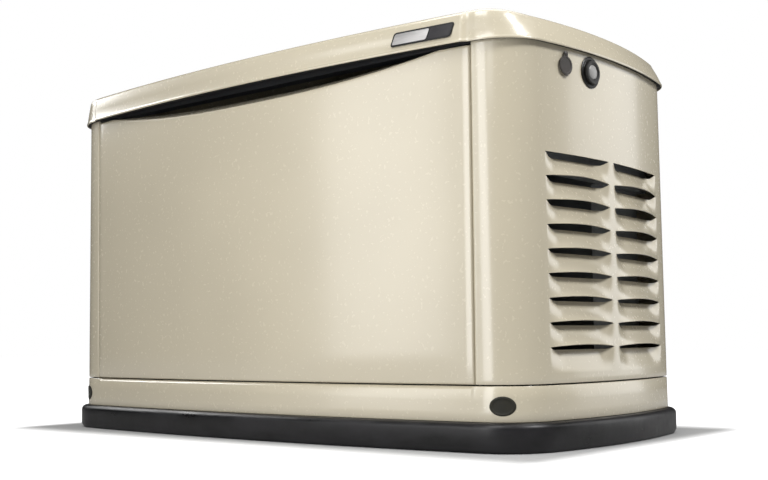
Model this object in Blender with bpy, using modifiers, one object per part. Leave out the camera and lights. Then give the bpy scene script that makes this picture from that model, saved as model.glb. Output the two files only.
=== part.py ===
"""Home standby generator: a weatherproof enclosure on a mounting pad, with its engine set inside.

X runs along the front, +X to the right-hand end. Y runs front to back. Z is up.
The origin is under the middle of the mounting pad. All sizes are in metres.
"""
from math import asin, atan2, cos, pi, radians, sin, sqrt

import bmesh
import bpy
from mathutils import Matrix, Vector

# Overall sizes
LENGTH = 1.218
DEPTH = 0.636
HEIGHT = 0.732
FIT = 0.0003             # gap between pieces that touch

# Plan outline: a rectangle with bowed sides and round corners
FRONT_BOW = 0.0409
END_BOW = 0.0492
CORNER_RADIUS = 0.1025
FRONT_STEPS = 5          # facets in a quarter of the outline
CORNER_STEPS = 5
END_STEPS = 3

# Mounting pad and base pan
PAD_HEIGHT = 0.0465
PAD_EDGE = 0.0100        # rounding of the pad's top edge
PAD_TOE = 0.0040         # draft at the pad's foot
PAD_SKIN = 0.0080
PAD_RIB = 0.0300
PAN_HEIGHT = 0.0562
PAN_FOOT_INSET = 0.0143
PAN_WALL = 0.0025
PAN_FLANGE = 0.0280
PLUG_WIDTH = 0.0420
PLUG_HEIGHT = 0.0300
PLUG_PROUD = 0.0022
PLUG_LIP = 0.0040        # how far the plug's head overlaps its hole
PLUG_STUB = 0.0100
PLUG_ANGLE = radians(-63)

# Walls
SHEET = 0.0015
WALL_INSET = 0.0155
WALL_TAPER = 0.0063      # each end leans in by this much at the lid
WALL_TUCK = 0.0060       # how far the walls reach up inside the lid
SEAM_FROM_END = 0.1270
SEAM_GAP = 0.0015
PANEL_CLEARANCE = 0.0015  # front panel below the lid, so that it draws straight out
RECESS_DEPTH = 0.0335    # finger recess below the lid, at the middle of the front
RECESS_SPAN = 0.4400
RECESS_POWER = 2.4
RECESS_LAND = 0.0030
RECESS_LEAN = 0.45       # share of the recess's height that the leaning sheet covers
PANEL_STEPS = 16

# Louvres in the end panels
LOUVRE_PITCH = 0.0390
LOUVRE_TOP_DROP = 0.1740  # first slot below the lid's edge
LOUVRE_OUT = 0.0060
LOUVRE_IN = 0.0120
LOUVRE_SLOT = 0.0080
LOUVRE_COLUMNS = ((-0.1980, -0.0250), (-0.0080, 0.1800))
LOUVRE_STEPS = 2
LOUVRE_BITE = 0.0020     # how far a blade runs into the wall beside its window
LOUVRE_FOOT = 0.0150     # least wall left below the last blade

# Lid
LID_DROP = 0.0840        # lid's edge below its crown
LID_INSET = 0.0063
LID_SHEET = 0.0020
LID_SKIRT = 0.0440
LID_LEAN = 0.0037
LID_ROUND = ((0.0075, 0.0510), (0.0200, 0.0565))  # inset and height of the edge
CROWN_SCALES = (0.78, 0.42)

# Lid hinges at the back
HINGE_X = 0.2000
HINGE_WIDTH = 0.0600
HINGE_LEAF = 0.0020
HINGE_BELOW_EDGE = 0.0080
HINGE_KNUCKLE = 0.0045
HINGE_PIN = 0.0020
HINGE_LEAF_DROP = 0.0480
HINGE_LEAF_RISE = 0.0300
HINGE_STANDOFF = 0.0093  # hinge axis behind the rear wall at the hinge

# Locks, their covers and the status light on the end panels
LOCK_Y = -0.1460
LOCK_DROP = 0.0315       # lock centre below the lid's edge
LOCK_RADIUS = 0.0090
LOCK_FLANGE = 0.0115
LOCK_FLANGE_DEPTH = 0.0022
LOCK_REACH = 0.0160
CAM_WIDTH = 0.0120
CAM_LENGTH = 0.0380
CAM_DEPTH = 0.0025
COVER_RADIUS = 0.0160
COVER_DEPTH = 0.0024
COVER_PIVOT_RISE = 0.0210
COVER_EAR = 0.0060
RIVET_RADIUS = 0.0020
RIVET_HEAD = 0.0042
KEEPER_WIDTH = 0.0240
KEEPER_CLEARANCE = 0.0030
LIGHT_Y = -0.0755
LIGHT_DROP = 0.0298
LIGHT_RADIUS = 0.0262
LIGHT_NOSE = 0.0215
LIGHT_PROUD = 0.0080
LIGHT_BODY = 0.0170
LIGHT_REACH = 0.0260
LENS_RADIUS = 0.0120
LENS_PROUD = 0.0100

# Name plate on the lid's front skirt, left blank
PLATE_X = 0.4015
PLATE_ABOVE_EDGE = 0.0235
PLATE_WIDTH = 0.1130
PLATE_HEIGHT = 0.0230
PLATE_SLANT = 0.0080
PLATE_DEPTH = 0.0014

# Front header rail
HEADER_DEPTH = 0.0240
HEADER_HEIGHT = 0.0240
HEADER_OVERLAP = 0.0080

# Engine bay
EXHAUST_BAY = 0.2090
BULKHEAD_SHEET = 0.0020
BULKHEAD_WIDTH = 0.4800
BULKHEAD_HEIGHT = 0.5400
ENGINE_OFFSET = 0.2000   # crankcase centre from the exhaust bulkhead
CRANKCASE_LENGTH = 0.2200
CRANKCASE_CHAMFER = 0.0150
CRADLE_GAP = 0.0025      # cradle below the widest housing on the crankshaft line
CRANKCASE_HALF = 0.1150
CRANKCASE_TOP = 0.1100
CYLINDER_SEAT = 0.1200   # cylinder foot from the crankshaft, along the cylinder
CYLINDER_LENGTH = 0.1300
CYLINDER_WIDTH = 0.1100
CYLINDER_STAGGER = 0.0400
FIN_COUNT = 7
FIN_DEPTH = 0.0130
ROCKER_HEIGHT = 0.0300
ROCKER_INSET = 0.0080
CAP_RADIUS = 0.0180
CAP_HEIGHT = 0.0180
CRANK_RADIUS = 0.0200
SHAFT_RADIUS = 0.0160
NOSE_RADIUS = 0.0120
FLYWHEEL_RADIUS = 0.1080
FLYWHEEL_DEPTH = 0.0350
FLYWHEEL_VANES = 20
BLOWER_RADIUS = 0.1220
BLOWER_DEPTH = 0.0620
BLOWER_INLET = 0.0850
STATOR_RADIUS = 0.1180
STATOR_BORE = 0.0920
STATOR_LENGTH = 0.2350
STATOR_FOOT = 0.0400
ROTOR_GAP = 0.0015
BELL_DEPTH = 0.0350
RUNNING_GAP = 0.0004
CRADLE_WIDTH = 0.2200
CRADLE_RAIL = 0.0400
CRADLE_DEPTH = 0.0290
CRADLE_MARGIN = 0.0200
ISOLATOR_RADIUS = 0.0180
ISOLATOR_HEIGHT = 0.0300
STARTER_RADIUS = 0.0350
STARTER_LENGTH = 0.1350
STARTER_DROP = 0.0450    # starter below the crankshaft
FILTER_RADIUS = 0.0360
FILTER_LENGTH = 0.0850
FILTER_DROP = 0.0650
DIPSTICK_RADIUS = 0.0030
DIPSTICK_DEPTH = 0.0380
DIPSTICK_SETBACK = 0.0350  # dipstick from the crankcase's right-hand face
DIPSTICK_Y = -0.0850
DIPSTICK_RISE = 0.0550   # dipstick seat above the crankcase
GRIP_WIDTH = 0.0220
GRIP_HEIGHT = 0.0200
GRIP_FOOT = 0.0120
MIXER_RADIUS = 0.0300
MIXER_HEIGHT = 0.1500
MIXER_FLANGE = 0.0060
AIRBOX = (0.1800, 0.2000, 0.0850)
AIRBOX_COVER = 0.0200
AIRBOX_ROUND = 0.0080
AIRBOX_COVER_ROUND = 0.0060

# Exhaust and fuel
MUFFLER = (0.1300, 0.3200, 0.1500)
MUFFLER_CLEARANCE = 0.0250
MUFFLER_LEG = 0.0800
MUFFLER_STUB = 0.0150
MUFFLER_ROUND = 0.0300
LEG_WIDTH = 0.0400       # legs of the muffler and of the fuel regulator
PIPE_RADIUS = 0.0160
PIPE_HOLE_GAP = 0.0060
REGULATOR = (0.1000, 0.0800, 0.0900)
REGULATOR_X = 0.0700
REGULATOR_CLEARANCE = 0.0170   # regulator behind the stator
REGULATOR_RISE = 0.0700
REGULATOR_ROUND = 0.0080
FUEL_RADIUS = 0.0105
FUEL_STUB = 0.0120
FUEL_BORE_DEPTH = 0.0300
HOSE_RADIUS = 0.0080
HOSE_BEND = 0.0400

# Battery, wiring compartment and controls
BATTERY = (0.2080, 0.1600, 0.1970)
BATTERY_FROM_END = 0.1010
BATTERY_FRONT = 0.0790   # battery behind the front of the pad
POST_RADIUS = 0.0090
POST_HEIGHT = 0.0160
POST_INSET = 0.0250      # battery posts from the case's ends
POST_BACK = 0.0320       # and from its rear
BATTERY_ROUND = 0.0040
CONSOLE = (0.2550, 0.4000, 0.1100)
CONSOLE_FROM_END = 0.0640
CONSOLE_TOP = 0.5550
BOX_SHEET = 0.0020
COMPARTMENT = (0.2300, 0.1700)
COMPARTMENT_Y = 0.1000
FACEPLATE = (0.1600, 0.1400, 0.0040)
FACEPLATE_Y = -0.1150
FACEPLATE_FROM_LEFT = 0.0350
BUTTON_RADIUS = 0.0080
BUTTON_PITCH = 0.0300
BUTTON_PROUD = 0.0032
BUTTON_LIFT = 0.0020
BUTTON_GAP = 0.0005
FLAP_LENGTH = 0.1200
FLAP_SHEET = 0.0030
FLAP_RISE = 0.0110
FLAP_ROD = 0.0030
LUG = 0.0050
BREAKER = (0.0300, 0.1000, 0.0200)
TOGGLE_TILT = radians(20)
TOGGLE_HUB = 0.0060
TOGGLE_REACH = 0.0220
TOGGLE_WIDTH = 0.0120
TOGGLE_THICK = 0.0060

FINISHES = {             # colour, roughness, metallic
    "enclosure_paint": ((0.62, 0.57, 0.46), 0.45, 0.2),
    "pad_plastic": ((0.030, 0.028, 0.032), 0.60, 0.0),
    "black_plastic": ((0.020, 0.020, 0.020), 0.50, 0.0),
    "plug_rubber": ((0.035, 0.036, 0.028), 0.55, 0.0),
    "cast_aluminium": ((0.50, 0.50, 0.50), 0.45, 0.9),
    "grey_steel": ((0.42, 0.43, 0.44), 0.40, 0.9),
    "dark_metal": ((0.10, 0.09, 0.085), 0.50, 0.6),
    "engine_paint": ((0.05, 0.05, 0.055), 0.45, 0.2),
    "hot_steel": ((0.30, 0.27, 0.24), 0.50, 0.8),
    "isolator_rubber": ((0.025, 0.025, 0.025), 0.80, 0.0),
    "lens": ((0.38, 0.38, 0.38), 0.25, 0.0),
    "plate_silver": ((0.60, 0.60, 0.60), 0.30, 0.5),
    "filter_enamel": ((0.80, 0.78, 0.72), 0.35, 0.0),
    "yellow_plastic": ((0.75, 0.52, 0.05), 0.45, 0.0),
    "console_grey": ((0.16, 0.165, 0.17), 0.50, 0.0),
    "button_rubber": ((0.30, 0.30, 0.30), 0.60, 0.0),
    "copper_winding": ((0.45, 0.20, 0.09), 0.40, 0.9),
}

# Places that follow from the sizes above
HALF_LENGTH = LENGTH / 2
HALF_DEPTH = DEPTH / 2
PAN_BOTTOM = PAD_HEIGHT + FIT
PAN_TOP = PAN_BOTTOM + PAN_HEIGHT
PAN_FLOOR = PAN_BOTTOM + PAN_WALL
FLOOR = PAN_FLOOR + FIT
LID_EDGE = HEIGHT - LID_DROP
WALL_BOTTOM = PAN_TOP + FIT
WALL_TOP = LID_EDGE + WALL_TUCK
PANEL_TOP = LID_EDGE - PANEL_CLEARANCE
SEAM_X = HALF_LENGTH - SEAM_FROM_END
UP = Vector((0, 0, 1))
ALONG_X = Matrix.Rotation(pi / 2, 4, "Y")   # turns a shape made along Z to lie along +X
ACROSS_X = Matrix.Rotation(pi / 2, 4, "Z") @ Matrix.Rotation(pi / 2, 4, "X")   # stands a flat
# outline up across the X axis, its x along Y and its y along Z


# --- scene helpers ---------------------------------------------------------------------------

def fresh_collection(name):
    collection = bpy.data.collections.new(name)
    bpy.context.scene.collection.children.link(collection)
    return collection


def finish(name):
    """The named finish as a Principled material, made once."""
    if name in bpy.data.materials:
        return bpy.data.materials[name]
    colour, roughness, metallic = FINISHES[name]
    material = bpy.data.materials.new(name)
    material.use_nodes = True
    shader = material.node_tree.nodes["Principled BSDF"]
    shader.inputs["Base Color"].default_value = (*colour, 1)
    shader.inputs["Roughness"].default_value = roughness
    shader.inputs["Metallic"].default_value = metallic
    return material


def to_object(name, mesh, collection, matrix):
    item = bpy.data.objects.new(name, mesh)
    item.matrix_world = matrix
    collection.objects.link(item)
    return item


def to_mesh(name, shape):
    """Store a closed bmesh as a mesh datablock, its faces pointing out, and free it."""
    bmesh.ops.recalc_face_normals(shape, faces=shape.faces)
    if shape.calc_volume(signed=True) < 0:
        bmesh.ops.reverse_faces(shape, faces=shape.faces)
    mesh = bpy.data.meshes.new(name)
    shape.to_mesh(mesh)
    shape.free()
    return mesh


def smooth(item, angle=35):
    item.data.shade_smooth()
    item.data.set_sharp_from_angle(angle=radians(angle))
    return item


def piece(name, look, shape, matrix=Matrix()):
    """A visible sub-part from a bmesh."""
    item = to_object(name, to_mesh(name, shape), PARTS, matrix)
    item.data.materials.append(finish(look))
    return smooth(item)


def boolean(target, shape, operation, matrix=Matrix()):
    """Cut a bmesh from the target, or weld it on."""
    cutter = to_object(target.name + "_tool", to_mesh("tool", shape), CUTTERS, matrix)
    boolean_with(target, cutter, operation)


def boolean_with(target, cutter, operation):
    cutter.hide_render = True
    cutter.display_type = "WIRE"
    modifier = target.modifiers.new(operation.lower(), "BOOLEAN")
    modifier.operation = operation
    modifier.solver = "EXACT"
    modifier.object = cutter


def cut(target, shape, matrix=Matrix()):
    boolean(target, shape, "DIFFERENCE", matrix)


def weld(target, shape, matrix=Matrix()):
    boolean(target, shape, "UNION", matrix)


# --- shapes ----------------------------------------------------------------------------------

def block(low, high):
    """A box between two corners."""
    shape = bmesh.new()
    low, high = Vector(low), Vector(high)
    size = Matrix.Diagonal((*(high - low), 1))
    bmesh.ops.create_cube(shape, size=1, matrix=Matrix.Translation((low + high) / 2) @ size)
    return shape


def soft_block(low, high, radius, segments=2):
    """A box with rounded edges."""
    shape = block(low, high)
    bmesh.ops.bevel(shape, geom=shape.edges[:], offset=radius, segments=segments,
                    affect="EDGES", profile=0.5)
    return shape


def rod(start, end, radius, end_radius=None, segments=16):
    """A cylinder or cone between two points."""
    shape = bmesh.new()
    start, end = Vector(start), Vector(end)
    turn = (end - start).to_track_quat("Z", "Y").to_matrix().to_4x4()
    place = Matrix.Translation((start + end) / 2) @ turn
    end_radius = radius if end_radius is None else end_radius
    bmesh.ops.create_cone(shape, cap_ends=True, segments=segments, radius1=radius,
                          radius2=end_radius, depth=(end - start).length, matrix=place)
    return shape


def turned(name, look, profile, matrix, closed=False, steps=16):
    """A profile of (radius, height) points, running down its outer side, turned about Z."""
    shape = bmesh.new()
    points = [shape.verts.new((radius, 0, height)) for radius, height in profile]
    pairs = list(zip(points, points[1:]))
    if closed:
        pairs.append((points[-1], points[0]))
    for pair in pairs:
        shape.edges.new(pair)
    mesh = bpy.data.meshes.new(name)
    shape.to_mesh(mesh)
    shape.free()
    item = to_object(name, mesh, PARTS, matrix)
    item.data.materials.append(finish(look))
    screw = item.modifiers.new("turn", "SCREW")
    screw.steps = steps
    screw.render_steps = steps
    screw.use_merge_vertices = True
    screw.merge_threshold = 0.00001
    return item


def extrusion(outlines, thickness, matrix=Matrix()):
    """A flat outline, with any holes after it, extruded half the thickness each way along Z."""
    curve = bpy.data.curves.new("outline", "CURVE")
    curve.dimensions = "2D"
    curve.fill_mode = "BOTH"
    curve.extrude = thickness / 2
    for outline in outlines:
        spline = curve.splines.new("POLY")
        spline.points.add(len(outline) - 1)
        for point, (x, y) in zip(spline.points, outline):
            point.co = (x, y, 0, 1)
        spline.use_cyclic_u = True
    return solid_from_curve(curve, matrix)


def pipe(points, radius, resolution=2):
    """A round pipe with filled ends through the points."""
    curve = bpy.data.curves.new("pipe", "CURVE")
    curve.dimensions = "3D"
    curve.bevel_depth = radius
    curve.bevel_resolution = resolution
    curve.render_resolution_u = 0
    curve.use_fill_caps = True
    spline = curve.splines.new("POLY")
    spline.points.add(len(points) - 1)
    for point, place in zip(spline.points, points):
        point.co = (*place, 1)
    return solid_from_curve(curve, Matrix())


def solid_from_curve(curve, matrix):
    """Turn a curve into a closed bmesh, placed by the matrix, with its caps welded."""
    holder = bpy.data.objects.new("curve", curve)
    bpy.context.scene.collection.objects.link(holder)
    evaluated = holder.evaluated_get(bpy.context.evaluated_depsgraph_get())
    mesh = bpy.data.meshes.new_from_object(evaluated)
    shape = bmesh.new()
    shape.from_mesh(mesh)
    bmesh.ops.remove_doubles(shape, verts=shape.verts, dist=0.00002)
    shape.transform(matrix)
    bpy.data.objects.remove(holder)
    bpy.data.meshes.remove(mesh)
    return shape


def rounded_path(corners, radius, steps=4):
    """The corners of a pipe's route, each replaced by an arc of the given radius."""
    corners = [Vector(corner) for corner in corners]
    route = [corners[0]]
    for before, corner, after in zip(corners, corners[1:], corners[2:]):
        back = (before - corner).normalized()
        ahead = (after - corner).normalized()
        half = back.angle(ahead) / 2
        reach = radius / sin(half) * cos(half)
        centre = corner + (back + ahead).normalized() * radius / sin(half)
        first = corner + back * reach - centre
        last = corner + ahead * reach - centre
        route += [centre + first.slerp(last, i / steps).normalized() * radius
                  for i in range(steps + 1)]
    return route + [corners[-1]]


def oval(width, height, steps=16):
    return [(width / 2 * cos(2 * pi * i / steps), height / 2 * sin(2 * pi * i / steps))
            for i in range(steps)]


def sheet(name, look, rows, thickness, closed=False):
    """A loft through rows of points, bottom row first, thickened inwards."""
    shape = bmesh.new()
    grid = [[shape.verts.new(point) for point in row] for row in rows]
    span = len(rows[0]) if closed else len(rows[0]) - 1
    for lower, upper in zip(grid, grid[1:]):
        for i in range(span):
            j = (i + 1) % len(lower)
            shape.faces.new((lower[i], lower[j], upper[j], upper[i]))
    if closed:
        shape.faces.new(grid[-1])
    mesh = bpy.data.meshes.new(name)
    shape.to_mesh(mesh)
    shape.free()
    item = to_object(name, mesh, PARTS, Matrix())
    item.data.materials.append(finish(look))
    solidify = item.modifiers.new("thickness", "SOLIDIFY")
    solidify.thickness = thickness
    solidify.offset = -1
    solidify.use_even_offset = True
    return smooth(item, 25)


def stack(rings):
    """A closed solid lofted through rings of equal length, capped at both ends."""
    shape = bmesh.new()
    grid = [[shape.verts.new(point) for point in ring] for ring in rings]
    for lower, upper in zip(grid, grid[1:]):
        for i, corner in enumerate(lower):
            j = (i + 1) % len(lower)
            shape.faces.new((corner, lower[j], upper[j], upper[i]))
    shape.faces.new(grid[0][::-1])
    shape.faces.new(grid[-1])
    return shape


# --- plan outline ----------------------------------------------------------------------------

def quarter_arcs(grow, taper=0.0):
    """The three arcs of a quarter outline: front, corner and right end.

    Each is (centre, radius, first angle, last angle). grow moves the outline outwards and
    taper shortens each end.
    """
    half = HALF_LENGTH - taper
    front_radius = (half * half + FRONT_BOW * FRONT_BOW) / (2 * FRONT_BOW)
    end_radius = (HALF_DEPTH * HALF_DEPTH + END_BOW * END_BOW) / (2 * END_BOW)
    front_centre = Vector((0, front_radius - HALF_DEPTH))
    end_centre = Vector((half - end_radius, 0))
    across = end_centre - front_centre
    reach_front = front_radius - CORNER_RADIUS
    reach_end = end_radius - CORNER_RADIUS
    along = (reach_front ** 2 - reach_end ** 2 + across.length_squared) / (2 * across.length)
    side = sqrt(reach_front ** 2 - along ** 2)
    unit = across.normalized()
    middle = front_centre + unit * along
    normal = Vector((unit.y, -unit.x))
    corner = max((middle + normal * side, middle - normal * side), key=lambda p: p.x - p.y)
    turn_front = atan2(corner.y - front_centre.y, corner.x - front_centre.x)
    turn_end = atan2(corner.y - end_centre.y, corner.x - end_centre.x)
    return ((front_centre, front_radius + grow, -pi / 2, turn_front),
            (corner, CORNER_RADIUS + grow, turn_front, turn_end),
            (end_centre, end_radius + grow, turn_end, 0.0))


def arc(centre, radius, first, last, steps):
    return [Vector((centre.x + radius * cos(first + (last - first) * i / steps),
                    centre.y + radius * sin(first + (last - first) * i / steps)))
            for i in range(steps + 1)]


def mirrored(points):
    """The points and their mirror image across Y = 0, as one run."""
    return points + [Vector((p.x, -p.y)) for p in reversed(points[:-1])]


def outline(grow, z, taper=0.0, scale=1.0):
    """The whole plan outline as a ring of points at height z."""
    front, corner, end = quarter_arcs(grow, taper)
    quarter = arc(*front, FRONT_STEPS) + arc(*corner, CORNER_STEPS)[1:] + arc(*end, END_STEPS)[1:]
    right = mirrored(quarter)
    ring = right + [Vector((-p.x, p.y)) for p in reversed(right[1:-1])]
    return [(p.x * scale, p.y * scale, z) for p in ring]


def wall_taper(z):
    return WALL_TAPER * (z - PAN_TOP) / (LID_EDGE - PAN_TOP)


def front_y(x, grow, taper=0.0):
    """The front outline's y at a place along X."""
    centre, radius = quarter_arcs(grow, taper)[0][:2]
    return centre.y - sqrt(radius * radius - x * x)


def end_strip(side, z, grow=-WALL_INSET):
    """The outline round one end, from the front seam to the rear seam, anticlockwise."""
    taper = wall_taper(z)
    seam = SEAM_X + SEAM_GAP / 2
    front, corner, end = quarter_arcs(grow, taper)
    stub = [Vector((seam, front_y(seam, grow, taper)))]
    strip = mirrored(stub + arc(*corner, CORNER_STEPS) + arc(*end, END_STEPS)[1:])
    if side < 0:
        strip = [Vector((-p.x, p.y)) for p in reversed(strip)]
    return [(p.x, p.y, z) for p in strip]


def long_strip(face, z, grow):
    """The outline along the front (face -1) or the back (face 1), from seam to seam."""
    seam = SEAM_X - SEAM_GAP / 2
    taper = wall_taper(z)
    points = []
    for i in range(PANEL_STEPS + 1):
        x = seam * (2 * i / PANEL_STEPS - 1)
        points.append((-face * x, -face * front_y(x, grow, taper), z))
    return points


def end_frame(side, y, z):
    """A frame on an end wall's outer face: X out of the wall, Y along it, Z up."""
    centre, radius = quarter_arcs(-WALL_INSET, wall_taper(z))[2][:2]
    angle = asin(y / radius)
    place = Vector((side * (centre.x + radius * cos(angle)), y, z))
    out = Vector((side * cos(angle), sin(angle), 0))
    matrix = Matrix((out, UP.cross(out), UP)).transposed().to_4x4()
    matrix.translation = place
    return matrix


def end_x(y, z, grow):
    """The right end's x at a place along Y, with the outline grown by grow."""
    centre, radius = quarter_arcs(grow, wall_taper(z))[2][:2]
    return centre.x + sqrt(radius * radius - y * y)


# --- enclosure -------------------------------------------------------------------------------

def make_pad():
    rings = [outline(-PAD_TOE, 0.0),
             outline(0.0, PAD_TOE * 2),
             outline(0.0, PAD_HEIGHT - PAD_EDGE),
             outline(-PAD_EDGE * 0.3, PAD_HEIGHT - PAD_EDGE * 0.3),
             outline(-PAD_EDGE, PAD_HEIGHT)]
    pad = piece("mounting_pad", "pad_plastic", stack(rings))
    pocket_x = (2 * SEAM_X - 2 * PAD_RIB) / 3
    pocket_y = (DEPTH - 2 * FRONT_BOW - 5 * PAD_RIB) / 2
    for column in (-1, 0, 1):
        for row in (-1, 1):
            x = column * (pocket_x + PAD_RIB)
            y = row * (pocket_y + PAD_RIB) / 2
            low = (x - pocket_x / 2, y - pocket_y / 2, -PAD_SKIN)
            high = (x + pocket_x / 2, y + pocket_y / 2, PAD_HEIGHT - PAD_SKIN)
            cut(pad, block(low, high))


def plug_frames():
    """A frame at each corner's lift hole: X out of the pan, Z up."""
    corner, radius = quarter_arcs(-WALL_INSET)[1][:2]
    z = PAN_BOTTOM + PAN_HEIGHT * 0.45
    for side_x, x_name in ((1, "right"), (-1, "left")):
        for side_y, y_name in ((1, "front"), (-1, "rear")):
            out = Vector((side_x * cos(PLUG_ANGLE), side_y * sin(PLUG_ANGLE), 0))
            matrix = Matrix((out, UP.cross(out), UP)).transposed().to_4x4()
            centre = Vector((side_x * corner.x, side_y * corner.y, z))
            matrix.translation = centre + out * radius
            yield y_name + "_" + x_name, matrix


def oval_solid(width, height, inner, outer, frame):
    """An oval bar along a frame's X, from inner to outer."""
    place = frame @ Matrix.Translation(((inner + outer) / 2, 0, 0)) @ ACROSS_X
    return extrusion([oval(width, height)], outer - inner, place)


def make_pan():
    step = PAN_TOP - PAN_WALL
    rings = [outline(-PAN_FOOT_INSET, PAN_BOTTOM),
             outline(-WALL_INSET, PAN_TOP),
             outline(-WALL_INSET - PAN_FLANGE, PAN_TOP),
             outline(-WALL_INSET - PAN_FLANGE, step),
             outline(-WALL_INSET - PAN_WALL, step),
             outline(-PAN_FOOT_INSET - PAN_WALL, PAN_FLOOR)]
    pan = piece("base_pan", "enclosure_paint", stack(rings))
    clearance = to_object("pan_clearance", to_mesh("pan_clearance", stack([
        outline(-PAN_FOOT_INSET + FIT, PAD_HEIGHT), outline(-WALL_INSET + FIT, PAN_TOP + FIT)])),
        CUTTERS, Matrix())
    hole_width = PLUG_WIDTH - 2 * PLUG_LIP
    hole_height = PLUG_HEIGHT - 2 * PLUG_LIP
    for name, frame in plug_frames():
        cut(pan, oval_solid(hole_width, hole_height, -2 * PLUG_STUB, PLUG_STUB, frame))
        head = oval_solid(PLUG_WIDTH, PLUG_HEIGHT, -PLUG_LIP, PLUG_PROUD, frame)
        plug = piece("lift_plug_" + name, "plug_rubber", head)
        boolean_with(plug, clearance, "DIFFERENCE")
        slack = 2 * FIT
        weld(plug, oval_solid(hole_width - slack, hole_height - slack, -PLUG_STUB,
                              PLUG_PROUD / 2, frame))


def blade(side, column, top, bottom):
    """One louvre blade across a window: its top edge is pushed in and its lip stands proud."""
    low, high = column[0] - LOUVRE_BITE, column[1] + LOUVRE_BITE
    rings = []
    for i in range(LOUVRE_STEPS + 1):
        y = low + (high - low) * i / LOUVRE_STEPS
        section = ((-LOUVRE_IN - SHEET, top), (-LOUVRE_IN, top),
                   (LOUVRE_OUT, bottom), (LOUVRE_OUT - SHEET, bottom))
        rings.append([(side * end_x(y, z, offset - WALL_INSET), y, z) for offset, z in section])
    return stack(rings)


def add_louvres(panel, side):
    first = LID_EDGE - LOUVRE_TOP_DROP
    rows = int((first - WALL_BOTTOM - LOUVRE_FOOT) / LOUVRE_PITCH)
    last = first - LOUVRE_PITCH * rows
    inside = side * (SEAM_X + PAN_FLANGE)
    outside = side * (HALF_LENGTH + PAN_FLANGE)
    for column in LOUVRE_COLUMNS:
        window = [(min(inside, outside), column[0], last), (max(inside, outside), column[1], first)]
        cut(panel, block(*window))
    for column in LOUVRE_COLUMNS:
        for row in range(rows):
            top = first - row * LOUVRE_PITCH - LOUVRE_SLOT
            bottom = first - (row + 1) * LOUVRE_PITCH + SHEET
            weld(panel, blade(side, column, top, bottom))


def make_end_panel(side, name):
    rows = [end_strip(side, WALL_BOTTOM), end_strip(side, WALL_TOP)]
    panel = sheet(name + "_end_panel", "enclosure_paint", rows, SHEET)
    add_louvres(panel, side)
    lock = end_frame(side, LOCK_Y, LID_EDGE - LOCK_DROP)
    cut(panel, rod((-LOCK_REACH, 0, 0), (LOCK_REACH, 0, 0), LOCK_RADIUS + FIT), lock)
    rivet = end_frame(side, LOCK_Y, LID_EDGE - LOCK_DROP + COVER_PIVOT_RISE)
    cover_back = LOCK_FLANGE_DEPTH + 3 * FIT
    cover_face = cover_back + COVER_DEPTH
    weld(panel, rod((-SHEET / 2, 0, 0), (cover_face + FIT + SHEET, 0, 0), RIVET_RADIUS,
                    segments=12), rivet)
    weld(panel, rod((cover_face + FIT, 0, 0), (cover_face + FIT + SHEET, 0, 0), RIVET_HEAD,
                    segments=12), rivet)
    if side > 0:
        light = end_frame(side, LIGHT_Y, LID_EDGE - LIGHT_DROP)
        cut(panel, rod((-LIGHT_REACH, 0, 0), (LIGHT_REACH, 0, 0), LIGHT_BODY + FIT), light)
    make_lock(side, name, lock)
    make_lock_cover(name, rivet, cover_back)


def make_lock(side, name, frame):
    """Barrel, outer flange and the cam that stands up behind the panel when unlocked."""
    lock = piece("lock_" + name, "grey_steel",
                 rod((-LOCK_REACH, 0, 0), (LOCK_FLANGE_DEPTH, 0, 0), LOCK_RADIUS), frame)
    weld(lock, rod((FIT, 0, 0), (LOCK_FLANGE_DEPTH, 0, 0), LOCK_FLANGE), frame)
    half = CAM_WIDTH / 2
    weld(lock, block((-LOCK_REACH - CAM_DEPTH / 2, -half, -half),
                     (-LOCK_REACH + CAM_DEPTH / 2, half, CAM_LENGTH)), frame)


def make_lock_cover(name, frame, back):
    """A disc with an ear at the top that swings aside about its rivet."""
    lean = asin((COVER_RADIUS - COVER_EAR) / COVER_PIVOT_RISE)
    disc = arc(Vector((0, -COVER_PIVOT_RISE)), COVER_RADIUS, pi - lean, 2 * pi + lean, 16)
    ear = arc(Vector((0, 0)), COVER_EAR, lean, pi - lean, 6)
    bore = RIVET_RADIUS + FIT
    place = frame @ Matrix.Translation((back + COVER_DEPTH / 2, 0, 0)) @ ACROSS_X
    piece("lock_cover_" + name, "dark_metal",
          extrusion([disc + ear, oval(2 * bore, 2 * bore, 12)], COVER_DEPTH), place)


def make_status_light():
    frame = end_frame(1, LIGHT_Y, LID_EDGE - LIGHT_DROP) @ ALONG_X
    floor = LIGHT_PROUD * 0.2
    profile = [(0, floor), (LENS_RADIUS + FIT, floor), (LENS_RADIUS + FIT, LIGHT_PROUD),
               (LIGHT_NOSE, LIGHT_PROUD), (LIGHT_RADIUS, 2 * FIT), (LIGHT_BODY, 2 * FIT), (LIGHT_BODY, -LIGHT_REACH),
               (0, -LIGHT_REACH)]
    turned("status_light_bezel", "black_plastic", profile, frame)
    seat = floor + FIT
    dome = [(LENS_RADIUS * sin(a), LIGHT_PROUD + (LENS_PROUD - LIGHT_PROUD) * cos(a))
            for a in (0, pi / 6, pi / 3, pi / 2)]
    turned("status_light_lens", "lens", dome + [(LENS_RADIUS, seat), (0, seat)], frame)


def make_rear_panel():
    rows = [long_strip(1, WALL_BOTTOM, -WALL_INSET), long_strip(1, WALL_TOP, -WALL_INSET)]
    panel = sheet("rear_panel", "enclosure_paint", rows, SHEET)
    z = FLOOR + REGULATOR_RISE + REGULATOR[2] / 2
    cut(panel, rod((REGULATOR_X, HALF_DEPTH - PAN_FLANGE * 2, z),
                   (REGULATOR_X, HALF_DEPTH + PAN_FLANGE, z), FUEL_RADIUS + FIT))


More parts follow.
